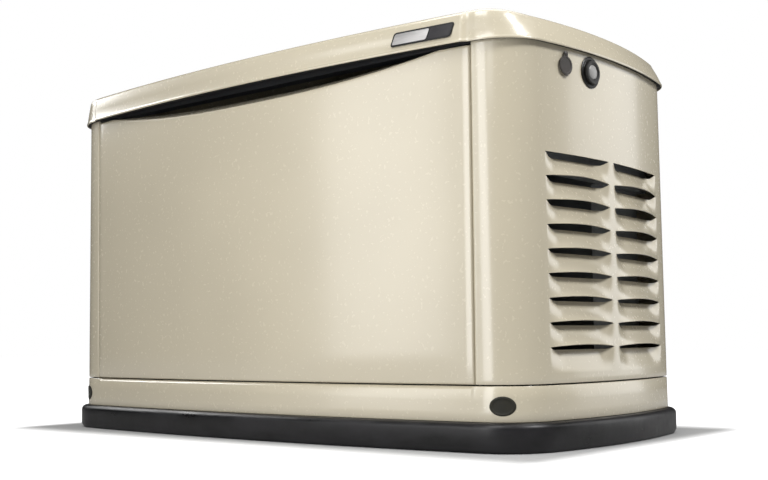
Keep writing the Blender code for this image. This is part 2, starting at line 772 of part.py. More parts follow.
def crease(x):
    """Height of the front panel's crease, where the finger recess starts to lean in."""
    drop = RECESS_DEPTH * (1 - min(abs(x) / RECESS_SPAN, 1) ** RECESS_POWER)
    return PANEL_TOP - max(drop, RECESS_LAND)


def make_front_panel():
    bottom = long_strip(-1, WALL_BOTTOM, -WALL_INSET)
    middle = []
    top = []
    for x, _, _ in bottom:
        z = crease(x)
        face = front_y(x, -WALL_INSET, wall_taper(z))
        lean = (PANEL_TOP - z) * RECESS_LEAN
        middle.append((x, face, z))
        top.append((x, face + lean, z + lean))
    sheet("front_panel", "enclosure_paint", [bottom, middle, top], SHEET)


def make_header():
    """A channel across the front, inside the lid, that ties the two end panels."""
    reach = SEAM_X + HEADER_OVERLAP
    face = front_y(reach, -WALL_INSET - SHEET - FIT, WALL_TAPER) + FIT
    low = PANEL_TOP + PANEL_CLEARANCE
    header = piece("front_header", "dark_metal",
                   block((-reach, face, low), (reach, face + HEADER_DEPTH, low + HEADER_HEIGHT)))
    cut(header, block((-reach - SHEET, face + SHEET, low + SHEET),
                      (reach + SHEET, face + HEADER_DEPTH + SHEET, low + HEADER_HEIGHT - SHEET)))


def make_lid():
    rings = [outline(-LID_INSET, LID_EDGE, WALL_TAPER),
             outline(-LID_INSET - LID_LEAN, LID_EDGE + LID_SKIRT, WALL_TAPER)]
    rings += [outline(-LID_INSET - inset, LID_EDGE + rise, WALL_TAPER)
              for inset, rise in LID_ROUND]
    inset, rise = LID_ROUND[-1]
    rim = LID_EDGE + rise
    for scale in CROWN_SCALES:
        z = rim + (HEIGHT - rim) * (1 - scale ** 2) / (1 - CROWN_SCALES[-1] ** 2)
        rings.append(outline(-LID_INSET - inset, z, WALL_TAPER, scale))
    lid = sheet("roof_lid", "enclosure_paint", rings, LID_SHEET, closed=True)
    for side in (1, -1):
        add_keeper(lid, side)


def add_keeper(lid, side):
    """The bracket inside the lid whose foot a lock's cam swings down over."""
    y = LOCK_Y - LOCK_RADIUS - KEEPER_CLEARANCE - KEEPER_WIDTH / 2
    z = LID_EDGE - LOCK_DROP
    frame = end_frame(side, y, z)
    arm = LOCK_DROP + WALL_TUCK + 2 * KEEPER_CLEARANCE
    leg = -LOCK_REACH - CAM_DEPTH - 2 * KEEPER_CLEARANCE
    foot = -CAM_WIDTH / 2 - KEEPER_CLEARANCE
    skirt = WALL_INSET - LID_INSET - LID_SHEET - LID_LEAN * 0.3
    outline_points = [(leg, foot), (leg + 3 * KEEPER_CLEARANCE, foot),
                      (leg + 3 * KEEPER_CLEARANCE, foot + LID_SHEET),
                      (leg + LID_SHEET, foot + LID_SHEET), (leg + LID_SHEET, arm),
                      (skirt, arm), (skirt, arm + LID_SHEET), (leg, arm + LID_SHEET)]
    stand = Matrix.Rotation(pi / 2, 4, "X")
    weld(lid, extrusion([outline_points], KEEPER_WIDTH, frame @ stand))


def make_nameplate():
    """A blank slanted plate on the front skirt of the lid."""
    rise = PLATE_ABOVE_EDGE / LID_SKIRT
    z = LID_EDGE + PLATE_ABOVE_EDGE
    grow = -LID_INSET - LID_LEAN * rise
    centre, radius = quarter_arcs(grow, WALL_TAPER)[0][:2]
    angle = asin(PLATE_X / radius)
    out = Vector((sin(angle), -cos(angle), 0))
    along = UP.cross(out)
    lean = atan2(LID_LEAN, LID_SKIRT)
    out = out * cos(lean) + UP * sin(lean)
    up = out.cross(along)
    matrix = Matrix((along, up, out)).transposed().to_4x4()
    matrix.translation = Vector((PLATE_X, centre.y - radius * cos(angle), z))
    matrix.translation += out * (PLATE_DEPTH / 2 + 2 * FIT)
    half, rise = PLATE_WIDTH / 2, PLATE_HEIGHT / 2
    slant = PLATE_SLANT / 2
    corners = [(-half - slant, -rise), (half - slant, -rise), (half + slant, rise),
               (-half + slant, rise)]
    piece("nameplate", "plate_silver", extrusion([corners], PLATE_DEPTH), matrix)


def hinge_axis():
    """Y and Z of the lid's hinge axis."""
    wall = -front_y(HINGE_X - HINGE_WIDTH / 2, -WALL_INSET, WALL_TAPER)
    return wall + HINGE_STANDOFF, LID_EDGE - HINGE_BELOW_EDGE


def make_hinge(side, name):
    y, z = hinge_axis()
    x = side * HINGE_X
    half = HINGE_WIDTH / 2
    third = HINGE_WIDTH / 6
    wall = y - HINGE_STANDOFF + FIT
    fixed = piece("frame_hinge_" + name, "grey_steel",
                  block((x - half, wall, z - HINGE_LEAF_DROP),
                        (x + half, wall + HINGE_LEAF, z - HINGE_KNUCKLE - HINGE_LEAF)))
    weld(fixed, block((x - third, wall, z - 3 * HINGE_KNUCKLE), (x + third, y, z - HINGE_PIN / 2)))
    weld(fixed, rod((x - third, y, z), (x + third, y, z), HINGE_KNUCKLE, segments=12))
    weld(fixed, rod((x - half, y, z), (x + half, y, z), HINGE_PIN, segments=12))
    lid_face = -front_y(HINGE_X - half, -LID_INSET, WALL_TAPER) + FIT
    inner = max(lid_face, y)
    moving = piece("lid_hinge_" + name, "grey_steel",
                   block((x - half, inner, z + HINGE_KNUCKLE + FIT),
                         (x + half, inner + HINGE_LEAF, z + HINGE_LEAF_RISE)))
    bore = HINGE_PIN + FIT
    for end in (-1, 1):
        near = x + end * (third + 2 * FIT)
        far = x + end * half
        weld(moving, rod((near, y, z), (far, y, z), HINGE_KNUCKLE, segments=12))
        weld(moving, block((min(near, far), inner, z + bore + FIT),
                           (max(near, far), inner + HINGE_LEAF, z + 2 * HINGE_KNUCKLE)))
    cut(moving, rod((x - HINGE_WIDTH, y, z), (x + HINGE_WIDTH, y, z), bore, segments=12))


# --- engine set ------------------------------------------------------------------------------

BULKHEAD_X = -HALF_LENGTH + EXHAUST_BAY
ENGINE_X = BULKHEAD_X + ENGINE_OFFSET
CRANKCASE_LEFT = ENGINE_X - CRANKCASE_LENGTH / 2
CRANKCASE_RIGHT = ENGINE_X + CRANKCASE_LENGTH / 2
CRADLE_BOTTOM = FLOOR + ISOLATOR_HEIGHT + FIT
CRADLE_TOP = CRADLE_BOTTOM + CRADLE_DEPTH
CRANK_DROP = max(STATOR_RADIUS, BLOWER_RADIUS) + CRADLE_GAP   # crankcase foot below the shaft
CRANK_Z = CRADLE_TOP + FIT + CRANK_DROP
STATOR_LEFT = CRANKCASE_RIGHT + FIT
STATOR_RIGHT = STATOR_LEFT + STATOR_LENGTH
BELL_RIGHT = STATOR_RIGHT + FIT + BELL_DEPTH
CRANK_LINE = Matrix.Translation((0, 0, CRANK_Z)) @ ALONG_X
MIXER_BOTTOM = CRANK_Z + CRANKCASE_TOP + FIT
AIRBOX_BOTTOM = MIXER_BOTTOM + MIXER_HEIGHT + FIT
DIPSTICK_X = CRANKCASE_RIGHT - DIPSTICK_SETBACK
DIPSTICK_SEAT = CRANK_Z + CRANKCASE_TOP + DIPSTICK_RISE
REGULATOR_Y = STATOR_RADIUS + REGULATOR_CLEARANCE + REGULATOR[1] / 2


def make_cradle():
    left = CRANKCASE_LEFT - CRADLE_MARGIN
    right = STATOR_RIGHT + CRADLE_MARGIN
    half = CRADLE_WIDTH / 2
    cradle = piece("engine_cradle", "engine_paint",
                   block((left, -half, CRADLE_BOTTOM), (right, half, CRADLE_TOP)))
    cut(cradle, block((left + CRADLE_RAIL, CRADLE_RAIL - half, CRADLE_BOTTOM - SHEET),
                      (right - CRADLE_RAIL, half - CRADLE_RAIL, CRADLE_TOP + SHEET)))
    inset = CRADLE_RAIL / 2
    for x, x_name in ((left + inset, "left"), (right - inset, "right")):
        for y, y_name in ((inset - half, "front"), (half - inset, "rear")):
            piece("isolator_" + y_name + "_" + x_name, "isolator_rubber",
                  rod((x, y, FLOOR), (x, y, FLOOR + ISOLATOR_HEIGHT), ISOLATOR_RADIUS,
                      segments=16))


def shoulder():
    """Half-width of the crankcase's flat top, between its two cylinder seats."""
    return CYLINDER_SEAT * sqrt(2) - CRANKCASE_TOP - FIT * 2


def make_crankcase():
    half = CRANKCASE_HALF
    chamfer = CRANKCASE_CHAMFER
    side_top = CYLINDER_SEAT * sqrt(2) - half - FIT * 2
    section = [(-half, chamfer - CRANK_DROP), (chamfer - half, -CRANK_DROP),
               (half - chamfer, -CRANK_DROP), (half, chamfer - CRANK_DROP), (half, side_top),
               (shoulder(), CRANKCASE_TOP), (-shoulder(), CRANKCASE_TOP), (-half, side_top)]
    place = Matrix.Translation((ENGINE_X, 0, CRANK_Z)) @ ACROSS_X
    case = piece("crankcase", "cast_aluminium", extrusion([section], CRANKCASE_LENGTH, place))
    cut(case, rod((CRANKCASE_LEFT - SHEET, 0, CRANK_Z), (CRANKCASE_RIGHT + SHEET, 0, CRANK_Z),
                  CRANK_RADIUS + RUNNING_GAP))
    weld(case, rod((DIPSTICK_X, DIPSTICK_Y, CRANK_Z), (DIPSTICK_X, DIPSTICK_Y, DIPSTICK_SEAT),
                   DIPSTICK_RADIUS * 3))
    cut(case, rod((DIPSTICK_X, DIPSTICK_Y, DIPSTICK_SEAT - DIPSTICK_DEPTH - SHEET),
                  (DIPSTICK_X, DIPSTICK_Y, DIPSTICK_SEAT + SHEET), DIPSTICK_RADIUS + RUNNING_GAP,
                  segments=16))


def cylinder_frame(side):
    """Frame of a cylinder: Z along the bore from the crankshaft, side -1 is the front one."""
    x = ENGINE_X + side * CYLINDER_STAGGER
    return Matrix.Translation((x, 0, CRANK_Z)) @ Matrix.Rotation(-side * pi / 4, 4, "X")


def make_cylinder(side, name):
    half = CYLINDER_WIDTH / 2
    foot = CYLINDER_SEAT + FIT
    pitch = CYLINDER_LENGTH / FIN_COUNT
    edge = []
    for i in range(FIN_COUNT):
        z = foot + i * pitch
        edge += [(half, z), (half, z + pitch / 2), (half - FIN_DEPTH, z + pitch / 2),
                 (half - FIN_DEPTH, z + pitch)]
    top = foot + CYLINDER_LENGTH
    edge[-1:] = [(half - FIN_DEPTH, top)]
    section = edge + [(-y, z) for y, z in reversed(edge)]
    frame = cylinder_frame(side)
    piece("cylinder_" + name, "cast_aluminium",
          extrusion([section], CYLINDER_WIDTH, frame @ ACROSS_X))
    inner = half - ROCKER_INSET
    cover_foot = top + FIT
    piece("rocker_cover_" + name, "engine_paint",
          soft_block((-inner, -inner, cover_foot), (inner, inner, cover_foot + ROCKER_HEIGHT),
                     ROCKER_INSET), frame)
    if side < 0:
        seat = cover_foot + ROCKER_HEIGHT + FIT
        cap = piece("oil_fill_cap", "yellow_plastic",
                    rod((0, 0, seat), (0, 0, seat + CAP_HEIGHT), CAP_RADIUS, segments=16), frame)
        weld(cap, block((-CAP_RADIUS * 0.8, -SHEET, seat + CAP_HEIGHT / 2),
                        (CAP_RADIUS * 0.8, SHEET, seat + CAP_HEIGHT * 1.4)), frame)


def make_rotating_set():
    """Crankshaft, flywheel fan and alternator rotor turn together on one axis."""
    nose_end = CRANKCASE_LEFT - FIT
    fan_right = nose_end - BLOWER_DEPTH * 0.25
    fan_left = fan_right - FLYWHEEL_DEPTH
    left = fan_left - SHEET
    right = BELL_RIGHT + SHEET
    profile = [(0, right), (SHAFT_RADIUS, right), (SHAFT_RADIUS, STATOR_LEFT),
               (CRANK_RADIUS, STATOR_LEFT), (CRANK_RADIUS, nose_end), (NOSE_RADIUS, nose_end),
               (NOSE_RADIUS, left), (0, left)]
    turned("crankshaft", "grey_steel", profile, CRANK_LINE)
    fan = []
    step = 2 * pi / FLYWHEEL_VANES
    root = FLYWHEEL_RADIUS * 0.82
    for i in range(FLYWHEEL_VANES):
        for turn, radius in ((0, root), (0.5, root), (0.55, FLYWHEEL_RADIUS),
                             (0.85, FLYWHEEL_RADIUS)):
            angle = (i + turn) * step
            fan.append((radius * cos(angle), radius * sin(angle)))
    place = Matrix.Translation(((fan_left + fan_right) / 2, 0, CRANK_Z)) @ ALONG_X
    wheel = piece("flywheel_fan", "cast_aluminium", extrusion([fan], FLYWHEEL_DEPTH, place))
    cut(wheel, rod((fan_left - SHEET, 0, CRANK_Z), (fan_right + SHEET, 0, CRANK_Z),
                   NOSE_RADIUS + FIT))
    margin = STATOR_FOOT / 2
    rotor_radius = STATOR_BORE - ROTOR_GAP
    low, high = STATOR_LEFT + margin, STATOR_RIGHT - margin
    rotor = [(SHAFT_RADIUS + FIT, high), (rotor_radius * 0.7, high),
             (rotor_radius * 0.7, high - margin / 2), (rotor_radius, high - margin / 2),
             (rotor_radius, low + margin / 2), (rotor_radius * 0.7, low + margin / 2),
             (rotor_radius * 0.7, low), (SHAFT_RADIUS + FIT, low)]
    turned("alternator_rotor", "copper_winding", rotor, CRANK_LINE, closed=True, steps=24)


def make_housings():
    """Blower housing at the flywheel end, and the alternator's stator and end bell."""
    high = CRANKCASE_LEFT - FIT
    low = high - BLOWER_DEPTH
    wall = 2 * SHEET
    shaft_hole = CRANK_RADIUS + wall
    profile = [(shaft_hole, high), (BLOWER_RADIUS, high), (BLOWER_RADIUS, low),
               (BLOWER_INLET, low), (BLOWER_INLET, low + wall),
               (BLOWER_RADIUS - wall, low + wall), (BLOWER_RADIUS - wall, high - wall),
               (shaft_hole, high - wall)]
    turned("blower_housing", "engine_paint", profile, CRANK_LINE, closed=True, steps=24)
    tube = [(STATOR_BORE, STATOR_RIGHT), (STATOR_RADIUS, STATOR_RIGHT),
            (STATOR_RADIUS, STATOR_LEFT), (STATOR_BORE, STATOR_LEFT)]
    stator = turned("stator_can", "grey_steel", tube, CRANK_LINE, closed=True, steps=24)
    foot_in = STATOR_BORE * 0.45
    for y in (-foot_in - STATOR_FOOT, foot_in):
        base = (STATOR_LEFT + STATOR_FOOT, y, CRADLE_TOP + FIT)
        top = (STATOR_RIGHT - STATOR_FOOT, y + STATOR_FOOT,
               CRANK_Z - sqrt(STATOR_BORE ** 2 - foot_in ** 2) - 4 * SHEET)
        weld(stator, block(base, top))
    bell_left = STATOR_RIGHT + FIT
    hub = CRANK_RADIUS * 2
    bell = [(SHAFT_RADIUS + RUNNING_GAP, BELL_RIGHT), (hub, BELL_RIGHT),
            (STATOR_RADIUS - wall, bell_left + BELL_DEPTH / 2), (STATOR_RADIUS, bell_left),
            (STATOR_BORE, bell_left), (hub, bell_left + wall),
            (SHAFT_RADIUS + RUNNING_GAP, bell_left + wall)]
    turned("alternator_end_bell", "cast_aluminium", bell, CRANK_LINE, closed=True, steps=24)


def make_engine_dressing():
    """Starter motor, oil filter, dipstick, mixer and air cleaner."""
    face = -CRANKCASE_HALF - FIT
    z = CRANK_Z - STARTER_DROP
    y = face - STARTER_RADIUS - 2 * SHEET
    left = CRANKCASE_LEFT + SHEET
    right = left + STARTER_LENGTH
    starter = piece("starter_motor", "engine_paint",
                    rod((left, y, z), (right, y, z), STARTER_RADIUS))
    weld(starter, block((left + STARTER_RADIUS, y, z - STARTER_RADIUS / 2),
                        (right - STARTER_RADIUS, face, z + STARTER_RADIUS / 2)))
    x = right + FILTER_RADIUS + 3 * SHEET
    filter_z = CRANK_Z - FILTER_DROP
    piece("oil_filter", "filter_enamel",
          rod((x, face, filter_z), (x, face - FILTER_LENGTH, filter_z), FILTER_RADIUS))
    foot = DIPSTICK_SEAT + FIT
    stick = piece("dipstick", "yellow_plastic",
                  rod((DIPSTICK_X, DIPSTICK_Y, DIPSTICK_SEAT - DIPSTICK_DEPTH),
                      (DIPSTICK_X, DIPSTICK_Y, foot + SHEET), DIPSTICK_RADIUS))
    weld(stick, rod((DIPSTICK_X, DIPSTICK_Y, foot), (DIPSTICK_X, DIPSTICK_Y, foot + GRIP_FOOT),
                    DIPSTICK_RADIUS * 3))
    half = GRIP_WIDTH / 2
    weld(stick, block((DIPSTICK_X - SHEET, DIPSTICK_Y - half, foot + GRIP_FOOT - SHEET),
                      (DIPSTICK_X + SHEET, DIPSTICK_Y + half, foot + GRIP_FOOT + GRIP_HEIGHT)))
    profile = [(0, MIXER_HEIGHT), (MIXER_RADIUS * 1.3, MIXER_HEIGHT),
               (MIXER_RADIUS * 1.3, MIXER_HEIGHT * 0.9), (MIXER_RADIUS, MIXER_HEIGHT * 0.85),
               (MIXER_RADIUS, MIXER_HEIGHT * 0.5), (MIXER_RADIUS * 0.8, MIXER_HEIGHT * 0.45),
               (MIXER_RADIUS * 0.8, MIXER_FLANGE), (MIXER_RADIUS * 1.2, MIXER_FLANGE),
               (MIXER_RADIUS * 1.2, 0), (0, 0)]
    turned("fuel_mixer", "cast_aluminium", profile,
           Matrix.Translation((ENGINE_X, 0, MIXER_BOTTOM)))
    size = Vector(AIRBOX) / 2
    centre = Vector((ENGINE_X, 0, AIRBOX_BOTTOM + size.z))
    piece("air_cleaner_box", "black_plastic",
          soft_block(centre - size, centre + size, AIRBOX_ROUND))
    size.z = AIRBOX_COVER / 2
    centre.z = AIRBOX_BOTTOM + AIRBOX[2] + FIT + size.z
    size.x += SHEET * 2
    size.y += SHEET * 2
    piece("air_cleaner_cover", "black_plastic",
          soft_block(centre - size, centre + size, AIRBOX_COVER_ROUND))


# --- exhaust and fuel ------------------------------------------------------------------------

def exhaust_ports():
    """The start of each exhaust pipe, on a cylinder's left-hand face."""
    for side in (-1, 1):
        middle = CYLINDER_SEAT + CYLINDER_LENGTH * 0.62
        point = cylinder_frame(side) @ Vector((-CYLINDER_WIDTH / 2 - FIT, 0, middle))
        yield point


def make_exhaust():
    z_top = FLOOR + BULKHEAD_HEIGHT
    half = BULKHEAD_WIDTH / 2
    sheet_half = BULKHEAD_SHEET / 2
    wall = piece("exhaust_bulkhead", "grey_steel",
                 block((BULKHEAD_X - sheet_half, -half, FLOOR),
                       (BULKHEAD_X + sheet_half, half, z_top)))
    muffler_x = BULKHEAD_X - MUFFLER_CLEARANCE - MUFFLER[0] / 2
    muffler_top = FLOOR + MUFFLER_LEG + MUFFLER[2]
    size = Vector(MUFFLER) / 2
    centre = Vector((muffler_x, 0, FLOOR + MUFFLER_LEG + size.z))
    muffler = piece("muffler", "hot_steel",
                    soft_block(centre - size, centre + size, MUFFLER_ROUND, 3))
    leg = LEG_WIDTH / 2
    for y in (-size.y * 0.6, size.y * 0.6):
        weld(muffler, block((muffler_x - leg, y - SHEET, FLOOR),
                            (muffler_x + leg, y + SHEET, centre.z)))
    weld(muffler, rod((muffler_x, 0, centre.z), (muffler_x - size.x - MUFFLER_STUB, 0, centre.z),
                      PIPE_RADIUS * 1.4))
    ports = list(exhaust_ports())
    collector_top = ports[0].z + 1.3 * PIPE_RADIUS
    outlet = piece("exhaust_manifold", "hot_steel",
                   rod((muffler_x, 0, muffler_top + FIT), (muffler_x, 0, collector_top),
                       1.3 * PIPE_RADIUS))
    for port in ports:
        stop = PIPE_RADIUS / 4 * (1 if port.y > 0 else -1)
        route = [port, (muffler_x, port.y, port.z), (muffler_x, stop, port.z)]
        weld(outlet, pipe(rounded_path(route, 3 * PIPE_RADIUS), PIPE_RADIUS))
        cut(wall, rod((BULKHEAD_X - PIPE_RADIUS, port.y, port.z),
                      (BULKHEAD_X + PIPE_RADIUS, port.y, port.z), PIPE_RADIUS + PIPE_HOLE_GAP))


def make_fuel():
    """Gas inlet through the rear panel, regulator on a pedestal, and the hose to the mixer."""
    half = Vector(REGULATOR) / 2
    bottom = FLOOR + REGULATOR_RISE
    centre = Vector((REGULATOR_X, REGULATOR_Y, bottom + half.z))
    regulator = piece("fuel_regulator", "cast_aluminium",
                      soft_block(centre - half, centre + half, REGULATOR_ROUND, 1))
    leg = LEG_WIDTH / 2
    weld(regulator, block((REGULATOR_X - leg, REGULATOR_Y - leg, FLOOR),
                          (REGULATOR_X + leg, REGULATOR_Y + leg, bottom + half.z)))
    outside = -front_y(REGULATOR_X, -WALL_INSET) + FUEL_STUB
    weld(regulator, rod((REGULATOR_X, REGULATOR_Y, centre.z), (REGULATOR_X, outside, centre.z),
                        FUEL_RADIUS))
    cut(regulator, rod((REGULATOR_X, outside - FUEL_BORE_DEPTH, centre.z),
                       (REGULATOR_X, outside + FUEL_BORE_DEPTH, centre.z), FUEL_RADIUS * 0.6))
    start = Vector((REGULATOR_X, REGULATOR_Y, centre.z + half.z + FIT))
    hose_z = MIXER_BOTTOM + MIXER_HEIGHT * 0.65
    end_x_place = ENGINE_X + MIXER_RADIUS + FIT
    route = [start, (start.x, start.y, hose_z), (start.x, 0, hose_z), (end_x_place, 0, hose_z)]
    piece("fuel_hose", "isolator_rubber", pipe(rounded_path(route, HOSE_BEND), HOSE_RADIUS))


# --- battery, compartment and controls -------------------------------------------------------

CONSOLE_RIGHT = HALF_LENGTH - CONSOLE_FROM_END
CONSOLE_LEFT = CONSOLE_RIGHT - CONSOLE[0]
FACE_TOP = CONSOLE_TOP + FIT + FACEPLATE[2]
FACE_LEFT = CONSOLE_LEFT + FACEPLATE_FROM_LEFT
FACE_X = FACE_LEFT + FACEPLATE[0] / 2
FLAP_Y = FACEPLATE_Y + FACEPLATE[1] / 2 - 2 * FLAP_ROD
FLAP_Z = FACE_TOP + FLAP_RISE
BREAKER_X = (FACE_LEFT + FACEPLATE[0] + CONSOLE_RIGHT) / 2
TOGGLE_Z = CONSOLE_TOP + FIT + BREAKER[2] - TOGGLE_HUB * 0.7


def make_battery():
    right = HALF_LENGTH - BATTERY_FROM_END
    low = Vector((right - BATTERY[0], -HALF_DEPTH + BATTERY_FRONT, FLOOR))
    case = piece("battery", "black_plastic",
                 soft_block(low, low + Vector(BATTERY), BATTERY_ROUND, 1))
    top = low.z + BATTERY[2]
    y = low.y + BATTERY[1] - POST_BACK
    for x in (low.x + POST_INSET, right - POST_INSET):
        weld(case, rod((x, y, top - POST_HEIGHT), (x, y, top + POST_HEIGHT), POST_RADIUS,
                       POST_RADIUS * 0.85, segments=12))


def make_console():
    """A sheet-metal control box standing on a wiring compartment, both open below."""
    half = CONSOLE[1] / 2
    bottom = CONSOLE_TOP - CONSOLE[2]
    console = piece("control_console", "console_grey",
                    block((CONSOLE_LEFT, -half, bottom), (CONSOLE_RIGHT, half, CONSOLE_TOP)))
    x = (CONSOLE_LEFT + CONSOLE_RIGHT) / 2
    half_x, half_y = COMPARTMENT[0] / 2, COMPARTMENT[1] / 2
    weld(console, block((x - half_x, COMPARTMENT_Y - half_y, FLOOR),
                        (x + half_x, COMPARTMENT_Y + half_y, CONSOLE_TOP - BOX_SHEET / 2)))
    skin = BOX_SHEET
    cut(console, block((CONSOLE_LEFT + skin, skin - half, bottom - skin),
                       (CONSOLE_RIGHT - skin, COMPARTMENT_Y - half_y, CONSOLE_TOP - skin)))
    cut(console, block((x - half_x + skin, COMPARTMENT_Y - half_y + skin, FLOOR - skin),
                       (x + half_x - skin, COMPARTMENT_Y + half_y - skin, CONSOLE_TOP - skin)))


def make_controller():
    seat = CONSOLE_TOP + FIT
    half_y = FACEPLATE[1] / 2
    low = (FACE_LEFT, FACEPLATE_Y - half_y, seat)
    high = (FACE_LEFT + FACEPLATE[0], FACEPLATE_Y + half_y, FACE_TOP)
    plate = piece("controller_faceplate", "black_plastic", block(low, high))
    lug_depth = 2 * FLAP_ROD
    for edge in (FACE_LEFT, FACE_LEFT + FACEPLATE[0] - LUG):
        weld(plate, block((edge, FLAP_Y - lug_depth, seat + FACEPLATE[2] / 2),
                          (edge + LUG, FLAP_Y + lug_depth, FLAP_Z + lug_depth)))
    cut(plate, rod((FACE_LEFT - LUG, FLAP_Y, FLAP_Z), (FACE_LEFT + FACEPLATE[0] + LUG, FLAP_Y,
                   FLAP_Z), FLAP_ROD + RUNNING_GAP, segments=12))
    button_y = FACEPLATE_Y - half_y + 3 * BUTTON_RADIUS
    for i, name in enumerate(("off", "manual", "auto")):
        x = FACE_X + (i - 1) * BUTTON_PITCH
        cut(plate, rod((x, button_y, seat - SHEET), (x, button_y, FACE_TOP + SHEET),
                       BUTTON_RADIUS + BUTTON_GAP))
        piece("button_" + name, "button_rubber",
              rod((x, button_y, seat + BUTTON_LIFT), (x, button_y, FACE_TOP + BUTTON_PROUD),
                  BUTTON_RADIUS))
    inner = LUG + 2 * FIT
    flap = piece("controller_cover", "console_grey",
                 block((FACE_LEFT + inner, FLAP_Y - FLAP_LENGTH, FLAP_Z - FLAP_SHEET / 2),
                       (FACE_LEFT + FACEPLATE[0] - inner, FLAP_Y, FLAP_Z + FLAP_SHEET / 2)))
    weld(flap, rod((FACE_LEFT + FIT, FLAP_Y, FLAP_Z),
                   (FACE_LEFT + FACEPLATE[0] - FIT, FLAP_Y, FLAP_Z), FLAP_ROD, segments=12))


def make_breaker():
    half_x, half_y = BREAKER[0] / 2, BREAKER[1] / 2
    seat = CONSOLE_TOP + FIT
    top = seat + BREAKER[2]
    body = piece("breaker", "black_plastic",
                 block((BREAKER_X - half_x, FACEPLATE_Y - half_y, seat),
                       (BREAKER_X + half_x, FACEPLATE_Y + half_y, top)))
    slot_x = TOGGLE_WIDTH / 2 + 2 * FIT
    slot_y = TOGGLE_HUB + 2 * FIT
    cut(body, block((BREAKER_X - slot_x, FACEPLATE_Y - slot_y, TOGGLE_Z - TOGGLE_HUB - 2 * FIT),
                    (BREAKER_X + slot_x, FACEPLATE_Y + slot_y, top + SHEET)))
    frame = Matrix.Translation((BREAKER_X, FACEPLATE_Y, TOGGLE_Z))
    frame = frame @ Matrix.Rotation(TOGGLE_TILT, 4, "X")
    half = TOGGLE_WIDTH / 2
    toggle = piece("breaker_toggle", "black_plastic",
                   rod((-half, 0, 0), (half, 0, 0), TOGGLE_HUB), frame)
    weld(toggle, block((-half + SHEET, -TOGGLE_THICK / 2, 0),
                       (half - SHEET, TOGGLE_THICK / 2, TOGGLE_REACH)), frame)


def build():
    make_pad()
    make_pan()
    make_end_panel(1, "right")
    make_end_panel(-1, "left")
    make_status_light()
    make_rear_panel()
    make_front_panel()
    make_header()
    make_lid()
    make_nameplate()
    make_hinge(1, "right")
    make_hinge(-1, "left")
    make_cradle()
    make_crankcase()
    make_cylinder(-1, "front")
    make_cylinder(1, "rear")
    make_rotating_set()
    make_housings()
    make_engine_dressing()
    make_exhaust()
    make_fuel()
    make_battery()
    make_console()
    make_controller()
    make_breaker()


for old in list(bpy.data.objects):
    bpy.data.objects.remove(old)
PARTS = fresh_collection("standby_generator")
CUTTERS = fresh_collection("cutters")
build()
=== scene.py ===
"""Home standby generator: a bowed sheet-metal case on a mounting pad, round an engine set."""
from math import acos, asin, atan2, cos, pi, radians, sin, sqrt

import bpy
from bpy.props import FloatProperty, FloatVectorProperty, IntProperty, PointerProperty
from mathutils import Matrix, Vector


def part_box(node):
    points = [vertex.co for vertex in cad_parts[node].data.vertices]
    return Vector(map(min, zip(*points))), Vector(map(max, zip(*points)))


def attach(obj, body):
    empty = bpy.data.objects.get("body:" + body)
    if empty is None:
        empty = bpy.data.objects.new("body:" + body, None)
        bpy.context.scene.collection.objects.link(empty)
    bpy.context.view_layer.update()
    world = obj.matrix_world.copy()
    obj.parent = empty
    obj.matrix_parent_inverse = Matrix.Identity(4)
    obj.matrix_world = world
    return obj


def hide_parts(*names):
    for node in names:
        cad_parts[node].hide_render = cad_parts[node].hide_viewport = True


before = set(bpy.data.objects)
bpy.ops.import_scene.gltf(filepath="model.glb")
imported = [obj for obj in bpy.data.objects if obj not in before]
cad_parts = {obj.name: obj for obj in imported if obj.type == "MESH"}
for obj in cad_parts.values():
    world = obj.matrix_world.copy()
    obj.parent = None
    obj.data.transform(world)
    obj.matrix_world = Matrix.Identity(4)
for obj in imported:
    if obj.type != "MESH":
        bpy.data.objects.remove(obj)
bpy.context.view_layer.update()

bl_info = {
    "name": "Home Standby Generator",
    "version": (1, 0, 0),
    "blender": (4, 5, 0),
    "location": "View3D > Sidebar > Generator",
    "description": "Builds a home standby generator in its packed frame",
    "category": "Add Mesh",
}

HALF_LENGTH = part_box("mounting_pad")[1].x
HALF_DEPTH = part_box("mounting_pad")[1].y
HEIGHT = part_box("roof_lid")[1].z
PAD_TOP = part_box("mounting_pad")[1].z
PAN_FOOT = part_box("base_pan")[0].z
PAN_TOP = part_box("base_pan")[1].z
HEM_SLIT = 0.0020                        # the hems roll in and leave a dark slit
WALL_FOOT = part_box("rear_panel")[0].z + HEM_SLIT
WALL_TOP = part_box("rear_panel")[1].z
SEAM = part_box("front_panel")[1].x
SEAM_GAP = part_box("right_end_panel")[0].x - SEAM
UP = Vector((0, 0, 1))
SIDES = ((1, "right"), (-1, "left"))
LOCK_Y, LOCK_Z = -0.1460, 0.6165         # middle of each end's lock
COVER_PIVOT_Z = 0.6375                   # each lock's cover hangs from here
LIGHT_Y, LIGHT_Z = -0.0755, 0.6182       # middle of the status light
LOCK_BORE, LIGHT_BORE = 0.0093, 0.0173   # radius of the holes for them
GAS_X, GAS_Z = 0.07, 0.1731              # middle of the gas inlet
HEM_TUCK = 0.0110                        # how far a folded edge reaches in
JOIN_Z = 0.4                             # height at which the plan's arcs are joined


# --- settings --------------------------------------------------------------------------------

def linear(code):
    """An sRGB hex colour as linear red, green and blue."""
    parts = [int(code[i:i + 2], 16) / 255 for i in (1, 3, 5)]
    return tuple(p / 12.92 if p <= 0.04045 else ((p + 0.055) / 1.055) ** 2.4 for p in parts)


def length(name, default, description):
    """A size setting in metres."""
    return FloatProperty(name=name, description=description, default=default, unit="LENGTH",
                         precision=4)


def colour(name, code, description):
    """A colour setting from a hex code."""
    return FloatVectorProperty(name=name, description=description, default=linear(code),
                               subtype="COLOR", size=3, min=0, max=1)


